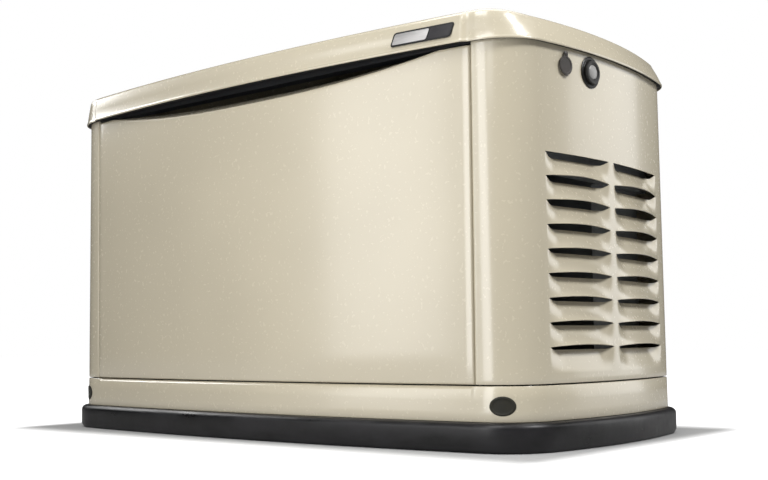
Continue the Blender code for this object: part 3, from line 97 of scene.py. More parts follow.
class CaseSizes(bpy.types.PropertyGroup):
    front_bow: length("Front bow", 0.0409, "How far the front and back bow outwards")
    end_bow: length("End bow", 0.0492, "How far the ends bow outwards")
    corner: length("Corner radius", 0.1025, "Plan radius of the case's corners")
    wall_inset: length("Wall inset", 0.0155, "Wall behind the pad's edge")
    wall_taper: length("End lean", 0.0063, "How far each end leans in at the lid")
    sheet: length("Sheet", 0.0015, "Thickness of the wall panels")
    hem: length("Hem radius", 0.0030, "Bend along the edge of a panel")
    lid_edge: length("Lid edge height", 0.6480, "Height of the lid's lower edge")
    lid_inset: length("Lid inset", 0.0063, "Lid's lower edge behind the pad's edge")
    lid_lean: length("Lid lean", 0.0037, "How far the lid's skirt leans in")
    lid_skirt: length("Lid skirt", 0.0440, "Height of the lid's skirt")
    end_lean: length("Lid end lean", 0.0170, "How much further the skirt leans in at the ends")
    end_fall: length("Lid end fall", 0.0050, "How far the shoulder falls towards the ends")
    brow: length("Lid brow", 0.0060, "How far the lid's front and back stand proud of its corners")
    recess: length("Finger recess", 0.0335, "Height of the finger recess at the middle")
    recess_span: length("Recess half span", 0.4400, "Half the width of the finger recess")


class LouvreSizes(bpy.types.PropertyGroup):
    rows: IntProperty(name="Rows", description="Blades in each column", default=9, min=1)
    top: length("First slot", 0.4740, "Height of the first slot")
    pitch: length("Pitch", 0.0390, "Height from one slot to the next")
    press: length("Press depth", 0.0130, "How far a blade's upper edge is pushed in")
    proud: length("Lip", 0.0062, "How far a blade's lip stands out")
    arch: length("Arch", 0.0048, "How far a lip rises at its middle")
    gap_top: length("Upper gap", 0.0074, "Opening of the uppermost slot below its line")
    gap_foot: length("Lower gap", 0.0034, "Opening of the lowest slot below its line")
    draw: length("Draw", 0.0340, "Length over which a blade's end tapers to the wall")


class Colours(bpy.types.PropertyGroup):
    coat: colour("Powder coat", "#C9C0AA", "Case panels, pan and lid")
    pad: colour("Pad", "#131214", "Moulded composite pad")
    ring: colour("Bezel", "#161512", "Status light bezel")
    plug: colour("Plug", "#211F15", "Lift plugs")
    cover: colour("Lock cover", "#3B3734", "Lock covers")
    lens: colour("Lens", "#A09F9D", "Status light lens")
    plate: colour("Plate", "#B9B7B6", "Light part of the nameplate")


# --- finishes --------------------------------------------------------------------------------

def add(tree, kind, links=(), **settings):
    """Add a shader node with its settings; links gives its sockets values or other sockets."""
    item = tree.nodes.new("ShaderNode" + kind)
    for name, value in settings.items():
        setattr(item, name, value)
    for socket, value in dict(links).items():
        if isinstance(value, bpy.types.NodeSocket):
            tree.links.new(value, item.inputs[socket])
        else:
            item.inputs[socket].default_value = value
    return item


def start_finish(name, base, roughness, metallic=0.0, **sockets):
    """A material with its shader set: returns it, its tree, shader and Object coordinates."""
    look = bpy.data.materials.new(name)
    look.use_nodes = True
    tree = look.node_tree
    shader = tree.nodes["Principled BSDF"]
    shader.inputs["Base Color"].default_value = (*base, 1)
    shader.inputs["Roughness"].default_value = roughness
    shader.inputs["Metallic"].default_value = metallic
    for socket, value in sockets.items():
        shader.inputs[socket.replace("_", " ")].default_value = value
    place = add(tree, "TexCoord").outputs["Object"]
    return look, tree, shader, place


def vary_colour(tree, shader, factor, dark, light, low=0.35, high=0.65):
    """Drive the base colour from dark to light."""
    ramp = add(tree, "ValToRGB", {"Fac": factor})
    for stop, position, value in zip(ramp.color_ramp.elements, (low, high), (dark, light)):
        stop.position = position
        stop.color = (*value, 1)
    tree.links.new(ramp.outputs["Color"], shader.inputs["Base Color"])
    return ramp


def vary_roughness(tree, shader, factor, low, high):
    """Drive the roughness by a noise between two values."""
    spread = add(tree, "MapRange", {"Value": factor, "From Min": 0.3, "From Max": 0.7,
                                    "To Min": low, "To Max": high})
    tree.links.new(spread.outputs["Result"], shader.inputs["Roughness"])


def raise_bump(tree, shader, height, strength, depth, under=None):
    """Bump the surface, over another bump where one is given."""
    links = {"Height": height, "Strength": strength, "Distance": depth}
    if under:
        links["Normal"] = under
    bump = add(tree, "Bump", links)
    tree.links.new(bump.outputs["Normal"], shader.inputs["Normal"])
    return bump.outputs["Normal"]


def grain(tree, place, size, detail=2.0, roughness=0.5, stretch=None):
    """Noise whose lumps are about size metres across, longer along any stretched axis."""
    if stretch:
        place = add(tree, "Mapping", {"Vector": place, "Scale": stretch}).outputs["Vector"]
    return add(tree, "TexNoise", {"Vector": place, "Scale": 1 / size, "Detail": detail,
                                  "Roughness": roughness}).outputs["Fac"]


def tint(base, factor):
    """A colour made darker or lighter."""
    return tuple(min(1, c * factor) for c in base)


LOOKS = {}


def look(name, maker, *details):
    """The finish of that name, made once."""
    if name not in LOOKS:
        LOOKS[name] = maker(name, *details)
    return LOOKS[name]


def powder_coat(name, base):
    """Polyester powder coat, sprayed and baked: an even satin with fine orange peel."""
    item, tree, shader, place = start_finish(name, base, 0.26, Specular_IOR_Level=0.75,
                                             Coat_Weight=0.6, Coat_Roughness=0.13)
    cloud = grain(tree, place, 0.22, 1.0)
    vary_colour(tree, shader, cloud, tint(base, 0.975), tint(base, 1.02))
    peel = grain(tree, place, 0.006, 1.0)   # real peel is 1 mm across, drawn coarser to show
    vary_roughness(tree, shader, peel, 0.255, 0.275)
    raise_bump(tree, shader, peel, 0.025, 0.00004)
    return item


def moulded_composite(name, base):
    """Compression-moulded resin and stone: glossy skin with flow marks and a wavy face."""
    item, tree, shader, place = start_finish(name, base, 0.4, Specular_IOR_Level=0.4)
    flow = grain(tree, place, 0.06, 4.0, 0.62, (0.6, 0.6, 1.2))
    vary_colour(tree, shader, flow, tint(base, 0.45), tint(base, 2.0), 0.38, 0.66)
    vary_roughness(tree, shader, flow, 0.26, 0.46)
    wave = raise_bump(tree, shader, grain(tree, place, 0.05, 2.0), 0.30, 0.004)
    raise_bump(tree, shader, grain(tree, place, 0.004), 0.12, 0.0004, wave)
    return item


def moulded_plastic(name, base, roughness):
    """ABS or nylon from a spark-eroded mould: fine matte grain."""
    item, tree, shader, place = start_finish(name, base, roughness)
    fine = grain(tree, place, 0.0012, 2.0)
    vary_colour(tree, shader, grain(tree, place, 0.03), tint(base, 0.9), tint(base, 1.12))
    vary_roughness(tree, shader, fine, roughness - 0.06, roughness + 0.08)
    raise_bump(tree, shader, fine, 0.18, 0.0002)
    return item


def moulded_rubber(name, base):
    """Vulcanised rubber: dull, with a grey bloom."""
    item, tree, shader, place = start_finish(name, base, 0.72)
    bloom = grain(tree, place, 0.02, 4.0, 0.6)
    vary_colour(tree, shader, bloom, tint(base, 0.8), tint(base, 1.5), 0.4, 0.75)
    vary_roughness(tree, shader, bloom, 0.62, 0.85)
    raise_bump(tree, shader, grain(tree, place, 0.0015), 0.15, 0.0002)
    return item


def cast_metal(name, base, roughness=0.5):
    """Sand-cast aluminium: pitted silver-grey with darker hollows."""
    item, tree, shader, place = start_finish(name, base, roughness, 0.85)
    cloud = grain(tree, place, 0.025, 5.0, 0.6)
    vary_colour(tree, shader, cloud, tint(base, 0.72), tint(base, 1.12), 0.3, 0.7)
    vary_roughness(tree, shader, cloud, roughness - 0.1, roughness + 0.14)
    raise_bump(tree, shader, grain(tree, place, 0.0022, 4.0, 0.7), 0.45, 0.0006)
    return item


def plated_steel(name, base, roughness=0.34):
    """Zinc plate on rolled steel: bright with a faint spangle and draw lines."""
    item, tree, shader, place = start_finish(name, base, roughness, 1.0)
    spangle = add(tree, "TexVoronoi", {"Vector": place, "Scale": 1 / 0.012})
    vary_colour(tree, shader, spangle.outputs["Color"], tint(base, 0.86), tint(base, 1.08))
    vary_roughness(tree, shader, grain(tree, place, 0.008, 3.0), roughness - 0.08,
                   roughness + 0.12)
    raise_bump(tree, shader, grain(tree, place, 0.0015, 2.0, 0.5, (1, 1, 0.08)), 0.06, 0.0002)
    return item


def satin_paint(name, base, roughness):
    """Sprayed satin enamel over steel or a casting."""
    item, tree, shader, place = start_finish(name, base, roughness)
    vary_colour(tree, shader, grain(tree, place, 0.06, 3.0), tint(base, 0.88), tint(base, 1.15))
    peel = grain(tree, place, 0.003, 2.0)
    vary_roughness(tree, shader, peel, roughness - 0.06, roughness + 0.08)
    raise_bump(tree, shader, peel, 0.15, 0.0003)
    return item


def heated_steel(name, base):
    """Aluminised steel that has run hot: straw and blue-grey tints over dull silver."""
    item, tree, shader, place = start_finish(name, base, 0.45, 0.9)
    cloud = grain(tree, place, 0.07, 4.0, 0.55)
    ramp = vary_colour(tree, shader, cloud, linear("#5E5A5C"), linear("#A39A8C"), 0.28, 0.72)
    straw = ramp.color_ramp.elements.new(0.5)
    straw.color = (*linear("#8C7A62"), 1)
    vary_roughness(tree, shader, grain(tree, place, 0.01, 4.0), 0.36, 0.62)
    raise_bump(tree, shader, grain(tree, place, 0.002, 3.0), 0.2, 0.0003)
    return item


def clear_lens(name, base):
    """Moulded polycarbonate with prism rings on its inner face, over a grey reflector."""
    item, tree, shader, place = start_finish(name, base, 0.34, 0.0, Coat_Weight=0.2,
                                             Coat_Roughness=0.2)
    low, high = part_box("status_light_lens")
    middle = (Vector(low) + Vector(high)) / 2
    centred = add(tree, "Mapping", {"Vector": place, "Location": -middle}).outputs["Vector"]
    rings = add(tree, "TexWave", {"Vector": centred, "Scale": 160.0}, wave_type="RINGS",
                rings_direction="X")
    vary_colour(tree, shader, rings.outputs["Fac"], tint(base, 0.72), tint(base, 1.2), 0.2, 0.8)
    raise_bump(tree, shader, rings.outputs["Fac"], 0.25, 0.0005)
    return item


def display_glass(name, base):
    """A dark liquid-crystal panel under glass, faintly uneven in tone."""
    item, tree, shader, place = start_finish(name, base, 0.12, 0.0, Coat_Weight=0.8,
                                             Coat_Roughness=0.04)
    cells = add(tree, "TexChecker", {"Vector": place, "Scale": 1 / 0.0012}).outputs["Fac"]
    vary_colour(tree, shader, cells, tint(base, 0.94), tint(base, 1.04))
    vary_roughness(tree, shader, grain(tree, place, 0.02), 0.10, 0.16)
    return item


def brushed_plate(name, base):
    """Anodised aluminium, brushed lengthwise."""
    item, tree, shader, place = start_finish(name, base, 0.36, 0.55)
    lines = grain(tree, place, 0.0016, 3.0, 0.6, (0.06, 0.06, 1.0))
    vary_colour(tree, shader, lines, tint(base, 0.94), tint(base, 1.06))
    vary_roughness(tree, shader, lines, 0.30, 0.46)
    return item


def lacquered_winding(name, base):
    """Enamelled copper wire, wound along the rotor and dipped in varnish."""
    item, tree, shader, place = start_finish(name, base, 0.3, 0.7)
    wires = add(tree, "TexWave", {"Vector": place, "Scale": 1 / 0.012, "Distortion": 0.4},
                wave_type="BANDS", bands_direction="Y")
    vary_colour(tree, shader, wires.outputs["Fac"], tint(base, 0.35), tint(base, 1.2), 0.1, 0.8)
    raise_bump(tree, shader, wires.outputs["Fac"], 0.6, 0.001)
    return item


STOCK = {
    "aluminised_steel": (heated_steel, "#8C857C"),
    "cast_aluminium": (cast_metal, "#B9B8B4"),
    "cast_lead": (cast_metal, "#8F9296", 0.45),
    "display_glass": (display_glass, "#58684F"),
    "electrocoat_black": (satin_paint, "#2C2D30", 0.42),
    "enamel_grey": (satin_paint, "#6E7173", 0.42),
    "filter_enamel_white": (satin_paint, "#E4E1DA", 0.28),
    "lacquered_copper": (lacquered_winding, "#B06A3C"),
    "laminated_steel": (plated_steel, "#8E9295", 0.42),
    "lamp_lens_a": (moulded_plastic, "#2E9E4A", 0.22),
    "lamp_lens_b": (moulded_plastic, "#D8A31E", 0.22),
    "lamp_lens_c": (moulded_plastic, "#B3261E", 0.22),
    "moulded_abs_black": (moulded_plastic, "#232323", 0.5),
    "moulded_nylon_yellow": (moulded_plastic, "#E3B632", 0.38),
    "moulded_polypropylene_grey": (moulded_plastic, "#4A4B4D", 0.42),
    "moulded_ring_red": (moulded_plastic, "#A3201C", 0.4),
    "moulded_rubber_black": (moulded_rubber, "#262626"),
    "plate_border": (satin_paint, "#0B0A0A", 0.6),
    "plate_charcoal": (satin_paint, "#1F1C20", 0.5),
    "plated_stud_copper": (cast_metal, "#B87A4B", 0.35),
    "printed_film_slate": (satin_paint, "#3C4650", 0.3),
    "sealing_foam_black": (moulded_rubber, "#0E0E0E"),
    "silicone_grey": (moulded_rubber, "#9A9A98"),
    "zinc_plate": (plated_steel, "#B4B7B9"),
}


def stock(name):
    """A finish of fixed colour, by its name in the table above."""
    maker, code, *details = STOCK[name]
    return look(name, maker, linear(code), *details)


def coat_look():
    """The case's powder coat."""
    return look("powder_coat_sand", powder_coat, tuple(bpy.context.scene.generator_colours.coat))


# --- modelling helpers -----------------------------------------------------------------------

def deselect():
    """Leave no object selected."""
    bpy.ops.object.select_all(action="DESELECT")


def use(item):
    """Make one object the selected and active one."""
    deselect()
    item.select_set(True)
    bpy.context.view_layer.objects.active = item


def modify(item, kind, **settings):
    """Add a modifier with its settings and apply it."""
    use(item)
    modifier = item.modifiers.new(kind.lower(), kind)
    for name, value in settings.items():
        setattr(modifier, name, value)
    bpy.ops.object.modifier_apply(modifier=modifier.name)
    return item


def select_faces(item, test):
    """Go into edit mode with just the faces that pass the test selected."""
    use(item)
    bpy.ops.object.mode_set(mode="EDIT")
    bpy.ops.mesh.select_mode(type="FACE")
    bpy.ops.mesh.select_all(action="DESELECT")
    bpy.ops.object.mode_set(mode="OBJECT")
    for face in item.data.polygons:
        face.select = test(face)
    bpy.ops.object.mode_set(mode="EDIT")


def cut(item, *tools):
    """Cut closed shapes out of a piece and drop them."""
    for tool in tools:
        modify(item, "BOOLEAN", object=tool, operation="DIFFERENCE", solver="EXACT")
        bpy.data.objects.remove(tool)


def weld_doubles(item, outward=True):
    """Merge points that lie on each other and, on a closed shape, turn its faces out."""
    use(item)
    bpy.ops.object.mode_set(mode="EDIT")
    bpy.ops.mesh.select_all(action="SELECT")
    bpy.ops.mesh.remove_doubles(threshold=0.00001)
    bpy.ops.mesh.delete_loose()
    if outward:
        bpy.ops.mesh.select_all(action="SELECT")
        bpy.ops.mesh.normals_make_consistent(inside=False)
    bpy.ops.object.mode_set(mode="OBJECT")
    return item


def wrapped(name, columns, rows, place, closed=False):
    """A grid of faces wrapped so that its corner (i, j) lands on place(i, j)."""
    deselect()
    bpy.ops.mesh.primitive_grid_add(x_subdivisions=columns, y_subdivisions=rows, size=1)
    item = bpy.context.object
    item.name = name
    for vertex in item.data.vertices:
        i = round((vertex.co.x + 0.5) * columns)
        j = round((vertex.co.y + 0.5) * rows)
        vertex.co = place(i, j)
    item.data.update()
    if closed:
        weld_doubles(item)
    return item


def settle(item, finish, body, *nodes, slot=None, angle=35):
    """Shade, paint and mount a finished piece, and let it stand for its CAD nodes."""
    use(item)
    bpy.ops.object.transform_apply(location=True, rotation=True, scale=True)
    bpy.ops.object.shade_smooth_by_angle(angle=radians(angle))
    item.data.materials.clear()
    item.data.materials.append(finish)
    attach(item, body)
    if nodes:
        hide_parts(*nodes)
    return item


def turned(name, profile, matrix, steps, flutes=0):
    """A profile of (radius, height) points turned about the matrix's Z.

    A third value at a point is the depth of its flutes.
    """
    def place(i, j):
        angle = 2 * pi * i / steps
        radius, height, *depth = profile[j]
        if depth:
            radius -= depth[0] * (0.5 - 0.5 * cos(flutes * angle))
        return matrix @ Vector((radius * cos(angle), radius * sin(angle), height))
    return wrapped(name, steps, len(profile) - 1, place, closed=True)


def round_tool(radius, reach, matrix, steps):
    """A plain cylinder to cut a round hole with, reaching as far both ways."""
    return turned("drill", [(0, reach), (radius, reach), (radius, -reach), (0, -reach)], matrix,
                  steps)


def slab(name, points, depth, matrix, bevel=0.0, segments=2):
    """A flat outline in the matrix's XY plane, raised by depth along its Z."""
    deselect()
    bpy.ops.mesh.primitive_circle_add(vertices=len(points), fill_type="NGON")
    item = bpy.context.object
    item.name = name
    for vertex, (x, y) in zip(item.data.vertices, points):
        vertex.co = (x, y, 0)
    bpy.ops.object.mode_set(mode="EDIT")
    bpy.ops.mesh.select_all(action="SELECT")
    bpy.ops.mesh.extrude_region_move(TRANSFORM_OT_translate={"value": (0, 0, depth)})
    bpy.ops.mesh.select_all(action="SELECT")
    bpy.ops.mesh.normals_make_consistent(inside=False)
    bpy.ops.object.mode_set(mode="OBJECT")
    item.data.transform(matrix)
    if bevel:
        modify(item, "BEVEL", width=bevel, segments=segments, limit_method="ANGLE",
               angle_limit=radians(40), harden_normals=False)
    return item


def block(name, low, high, bevel, segments=2):
    """A box between two corners with its edges rounded."""
    deselect()
    low, high = Vector(low), Vector(high)
    bpy.ops.mesh.primitive_cube_add(size=1, location=(low + high) / 2)
    item = bpy.context.object
    item.name = name
    item.scale = high - low
    bpy.ops.object.transform_apply(location=True, rotation=True, scale=True)
    return modify(item, "BEVEL", width=bevel, segments=segments, limit_method="NONE")


def join(name, items):
    """Join objects into one of a new name."""
    use(items[0])
    for item in items:
        item.select_set(True)
    bpy.ops.object.join()
    items[0].name = name
    return items[0]


def bar(name, start, end, radius, sides):
    """A round bar between two points, its ends closed."""
    ahead = (end - start).normalized()
    normal = ahead.orthogonal().normalized()
    across = ahead.cross(normal)

    def place(i, j):
        angle = 2 * pi * i / sides
        reach = radius if j in (1, 2) else 0
        return (start, start, end, end)[j] + (normal * cos(angle) + across * sin(angle)) * reach
    return wrapped(name, sides, 3, place, closed=True)


def arc_points(centre, radius, first, last, steps):
    """Points along an arc between two angles."""
    return [(centre[0] + radius * cos(first + (last - first) * k / steps),
             centre[1] + radius * sin(first + (last - first) * k / steps))
            for k in range(steps + 1)]


def frame_at(place, out):
    """A matrix at a place whose X is out, Z is up and Y runs between them."""
    out = out.normalized()
    along = UP.cross(out).normalized()
    matrix = Matrix((out, along, out.cross(along))).transposed().to_4x4()
    matrix.translation = place
    return matrix


# turns a flat outline so that its x runs along a frame's Y, its y up, and it faces out
FACE_OUT = Matrix(((0, 0, 1, 0), (1, 0, 0, 0), (0, 1, 0, 0), (0, 0, 0, 1)))
# turns a profile's axis to a frame's X, out of the wall
AXIS_OUT = Matrix.Rotation(pi / 2, 4, "Y")


# --- plan of the case ------------------------------------------------------------------------

def quarter(taper):
    """Centre, radius and first and last angle of the front, corner and end arcs."""
    case = bpy.context.scene.generator_case
    half = HALF_LENGTH - taper
    front_radius = (half ** 2 + case.front_bow ** 2) / (2 * case.front_bow)
    end_radius = (HALF_DEPTH ** 2 + case.end_bow ** 2) / (2 * case.end_bow)
    front = Vector((0, front_radius - HALF_DEPTH))
    end = Vector((half - end_radius, 0))
    across = end - front
    reach_front, reach_end = front_radius - case.corner, end_radius - case.corner
    along = (reach_front ** 2 - reach_end ** 2 + across.length_squared) / (2 * across.length)
    side = sqrt(reach_front ** 2 - along ** 2)
    unit = across.normalized()
    middle = front + unit * along
    normal = Vector((unit.y, -unit.x))
    corner = max((middle + normal * side, middle - normal * side), key=lambda p: p.x - p.y)
    turn_front = atan2(corner.y - front.y, corner.x - front.x)
    turn_end = atan2(corner.y - end.y, corner.x - end.x)
    return {"front": (front, front_radius, -pi / 2, turn_front),
            "corner": (corner, case.corner, turn_front, turn_end),
            "end": (end, end_radius, turn_end, 0.0)}


ARCS = {}


def arcs_at(z):
    """The plan arcs at a height: each end leans in towards the lid."""
    case = bpy.context.scene.generator_case
    share = min(max((z - PAN_TOP) / (case.lid_edge - PAN_TOP), 0), 1)
    key = round(share, 5)
    if key not in ARCS:
        ARCS[key] = quarter(case.wall_taper * share)
    return ARCS[key]


def plan(station, grow, z):
    """A point of the plan outline at a height.

    A station is (arc, value, tuck, mirror): value is x on the front, a share of the corner, or
    y on the end. tuck moves the point inwards, and mirror puts it at the back.
    """
    kind, value, tuck, mirror = station
    centre, radius, first, last = arcs_at(z)[kind]
    radius += grow - tuck
    if kind == "front":
        angle = -acos((value - centre.x) / radius)
    elif kind == "corner":
        angle = first + (last - first) * value
    else:
        angle = asin(value / radius)
    x, y = centre.x + radius * cos(angle), centre.y + radius * sin(angle)
    return Vector((x, -y if mirror else y, z))


def tangent_x():
    """x where the front's arc meets the corner's."""
    centre, radius, _, last = arcs_at(JOIN_Z)["front"]
    return centre.x + radius * cos(last)


def tangent_y():
    """y where the end's arc meets the corner's."""
    centre, radius, first, _ = arcs_at(JOIN_Z)["end"]
    return centre.y + radius * sin(first)


def spread(first, last, steps):
    """Evenly spaced values from first to last, both included."""
    return [first + (last - first) * k / steps for k in range(steps + 1)]


def mirrored(stations):
    """The same stations at the back, in reverse order."""
    return [(kind, value, tuck, True) for kind, value, tuck, _ in reversed(stations)]


def ring_stations(front_xs, corner_steps=14):
    """Stations of the case's right half, from the middle of the front to that of the back.

    front_xs run from 0 to the corner.
    """
    low = tangent_y()
    half = [("front", x, 0, False) for x in front_xs]
    half += [("corner", s, 0, False) for s in spread(0, 1, corner_steps)[1:]]
    return half + [("end", y, 0, False) for y in spread(low, -low, 16)[1:-1]] + mirrored(half)


def ring_point(stations, i, grow, z):
    """The i-th point round the case: the right half, then its mirror image."""
    count = len(stations) - 1
    if i <= count:
        return plan(stations[i], grow, z)
    point = plan(stations[2 * count - i], grow, z)
    return Vector((-point.x, point.y, z))


def end_share(stations, i):
    """0 at the front and back, 1 at the ends, easing over each corner."""
    count = len(stations) - 1
    kind, value, _, _ = stations[i if i <= count else 2 * count - i]
    if kind == "corner":
        return (1 - cos(pi * value)) / 2
    return float(kind == "end")


def panel_edge(side_x, hem):
    """Stations of a panel's folded edge, from deep inside out to its face."""
    return [("front", side_x, HEM_TUCK, False), ("front", side_x, hem, False),
            ("front", side_x + hem * 0.3, hem * 0.3, False), ("front", side_x + hem, 0, False)]


def end_wall_frame(side, y, z):
    """A frame on an end wall: X out of the wall, Y along it, Z up."""
    case = bpy.context.scene.generator_case
    point = plan(("end", y, 0, False), -case.wall_inset, z)
    centre = arcs_at(z)["end"][0]
    out = Vector((point.x - centre.x, point.y - centre.y, 0)).normalized()
    if side < 0:
        point.x, out.x = -point.x, -out.x
    return frame_at(point, out)


# --- pad and pan -----------------------------------------------------------------------------

def front_spread():
    """x stations along half of the front, close together where the seam comes."""
    reach = tangent_x()
    before, past = SEAM - 0.02, SEAM + 0.012
    return spread(0, before, 22) + spread(before, past, 12)[1:] + [(past + reach) / 2, reach]


class GENERATOR_OT_pad(bpy.types.Operator):
    """Model the moulded composite pad, ribbed underneath"""
    bl_idname = "generator.pad"
    bl_label = "Mounting pad"

    def execute(self, context):
        colours = context.scene.generator_colours
        stations = ring_stations(spread(0, tangent_x(), 24))
        lip = 0.0100   # radius of the upper edge
        # (growth, height) from the middle of the underside round to that of the top
        rows = [(-0.30, 0.0), (-0.030, 0.0), (-0.0055, 0.0), (-0.0040, 0.0006), (0, 0.0075),
                (0, PAD_TOP - lip)]
        rows += [(-lip * (1 - cos(a)), PAD_TOP - lip * (1 - sin(a)))
                 for a in (radians(d) for d in (15, 30, 45, 60, 75, 90))]
        rows += [(-0.020, PAD_TOP), (-0.045, PAD_TOP), (-0.30, PAD_TOP)]
        columns = 2 * (len(stations) - 1)

        def place(i, j):
            grow, z = rows[j]
            point = ring_point(stations, i, grow, z)
            if grow < -0.1:
                point.x = point.y = 0
            return point
        pad = wrapped("pad", columns, len(rows) - 1, place, closed=True)
        half = Vector((0.1457, 0.1012))        # half the size of a pocket
        skin = 0.008                           # left above a pocket
        for x in (-0.3213, 0, 0.3213):
            for y in (-0.1162, 0.1162):
                cut(pad, block("pocket", (x - half.x, y - half.y, -0.02),
                               (x + half.x, y + half.y, PAD_TOP - skin), 0.006))
        finish = look("moulded_composite_charcoal", moulded_composite, tuple(colours.pad))
        settle(pad, finish, "enclosure", "mounting_pad", slot="pad_plastic")
        return {"FINISHED"}


def seam_share(x):
    """1 between the two seams of the front, 0 outside them, with a short slope between."""
    return min(max((SEAM + 0.002 - abs(x)) / 0.009, 0), 1)


def plug_frames():
    """The name and frame of each corner's lift hole: X out of the pan."""
    case = bpy.context.scene.generator_case
    centre, radius, _, _ = arcs_at(PAN_TOP)["corner"]
    z = PAN_FOOT + (PAN_TOP - PAN_FOOT) * 0.45
    angle = radians(-63)   # where on the corner's arc a hole sits
    for side_x, x_name in SIDES:
        for side_y, y_name in ((1, "front"), (-1, "rear")):
            out = Vector((side_x * cos(angle), side_y * sin(angle), 0))
            middle = Vector((side_x * centre.x, side_y * centre.y, z))
            yield y_name + "_" + x_name, frame_at(middle + out * (radius - case.wall_inset), out)


class GENERATOR_OT_pan(bpy.types.Operator):
    """Model the base pan that the walls stand on"""
    bl_idname = "generator.pan"
    bl_label = "Base pan"

    def execute(self, context):
        case = context.scene.generator_case
        stations = ring_stations(front_spread())
        foot_inset = 0.0143
        chamfer, seam_chamfer = 0.0009, 0.0040   # the upper edge is cut deeper between the seams
        rows = [("foot", -0.016, 0.0), ("foot", -0.0016, 0.0), ("foot", -0.0005, 0.0005),
                ("foot", 0, 0.0016), ("wall", 0, 0.30), ("wall", 0, 0.60)]
        rows += [("chamfer", 1.0, 1.0), ("chamfer", 0.88, 0.84), ("chamfer", 0.5, 0.42),
                 ("chamfer", 0.12, 0.12), ("chamfer", 0.0, 0.0)]
        rows += [("top", -0.010, 0), ("top", -0.028, 0), ("top", -0.028, -0.0025),
                 ("top", -0.0035, -0.0025), ("inner", -0.0025, 0.95), ("inner", -0.0025, 0.03)]
        columns = 2 * (len(stations) - 1)

        def place(i, j):
            kind, a, b = rows[j]
            share = seam_share(ring_point(stations, i, -case.wall_inset, PAN_TOP).x)
            if kind == "foot":
                return ring_point(stations, i, a - foot_inset, PAN_FOOT + b)
            if kind in ("wall", "inner"):
                z = PAN_FOOT + (PAN_TOP - PAN_FOOT) * b
                return ring_point(stations, i, a - foot_inset
                                  + (foot_inset - case.wall_inset) * b, z)
            if kind == "chamfer":
                size = chamfer + seam_chamfer * share
                return ring_point(stations, i, -case.wall_inset - size * (1 - a) * 0.9,
                                  PAN_TOP - size * b)
            return ring_point(stations, i, -case.wall_inset + a, PAN_TOP + b)
        pan = wrapped("pan", columns, len(rows) - 1, place)
        weld_doubles(pan, outward=False)
        # the floor is still open: fill the loop round it
        use(pan)
        bpy.ops.object.mode_set(mode="EDIT")
        bpy.ops.mesh.select_all(action="SELECT")
        bpy.ops.mesh.region_to_loop()
        bpy.ops.mesh.fill_holes(sides=0)
        bpy.ops.mesh.select_all(action="SELECT")
        bpy.ops.mesh.normals_make_consistent(inside=False)
        bpy.ops.object.mode_set(mode="OBJECT")
        for _, matrix in plug_frames():
            cut(pan, slab("hole", oval(0.0365, 0.0245), 0.06,
                          matrix @ FACE_OUT @ Matrix.Translation((0, 0, -0.03))))
        settle(pan, coat_look(), "enclosure", "base_pan", slot="enclosure_paint")
        return {"FINISHED"}


def oval(width, height):
    """An oval outline of 40 points about the origin."""
    return [(width / 2 * cos(2 * pi * k / 40), height / 2 * sin(2 * pi * k / 40))
            for k in range(40)]


class GENERATOR_OT_plugs(bpy.types.Operator):
    """Model the rubber plugs in the four lift holes"""
    bl_idname = "generator.plugs"
    bl_label = "Lift plugs"

    def execute(self, context):
        colours = context.scene.generator_colours
        finish = look("moulded_plug", moulded_rubber, tuple(colours.plug))
        # (share of the head's size, height above the wall)
        head = [(0, -0.010), (0.74, -0.010), (0.78, -0.004), (0.80, 0.0), (1.0, 0.0001),
                (1.0, 0.0010), (0.95, 0.0018), (0.86, 0.0022), (0.80, 0.0021), (0.76, 0.0015),
                (0.70, 0.0013), (0.35, 0.0016), (0, 0.0017)]
        case = context.scene.generator_case
        corner = arcs_at(PAN_TOP)["corner"][1] - case.wall_inset
        half_width, half_height, lean = 0.0210, 0.0155, 0.0012 / 0.0562
        for name, matrix in plug_frames():
            def place(i, j):
                angle = 2 * pi * i / 48
                share, height = head[j]
                y = share * half_width * cos(angle)
                z = share * half_height * sin(angle)
                back = corner - sqrt(corner ** 2 - y ** 2)   # follow the rounded corner
                return matrix @ Vector((height - back + z * lean, y, z))
            plug = wrapped("plug_" + name, 48, len(head) - 1, place, closed=True)
            settle(plug, finish, "enclosure", "lift_plug_" + name, slot="plug_rubber")
        return {"FINISHED"}


# --- walls -----------------------------------------------------------------------------------

LOUVRE_COLUMNS = ((-0.1980, -0.0250), (-0.0080, 0.1800))   # y across an end, first to last


def end_ys():
    """y stations across an end, close together where the blades taper."""
    low = tangent_y()
    draw = bpy.context.scene.generator_louvres.draw
    ys = spread(low, LOUVRE_COLUMNS[0][0] - 0.002, 2)
    for first, last in LOUVRE_COLUMNS:
        ys += spread(first, first + draw, 8)
        ys += spread(first + draw, last - draw, 8)[1:]
        ys += spread(last - draw, last, 8)[1:]
    ys += spread(LOUVRE_COLUMNS[1][1] + 0.004, -low, 2)
    return ys


def blade_share(y):
    """How far across its column a y is, as (pressed share, arch share); (0, 0) outside."""
    draw = bpy.context.scene.generator_louvres.draw
    for first, last in LOUVRE_COLUMNS:
        if first - 1e-6 <= y <= last + 1e-6:
            edge = min(y - first, last - y)
            press = min(edge / draw, 1)
            middle = (y - first) / (last - first)
            return press, max(sin(pi * middle), 0) ** 0.75
    return 0.0, 0.0


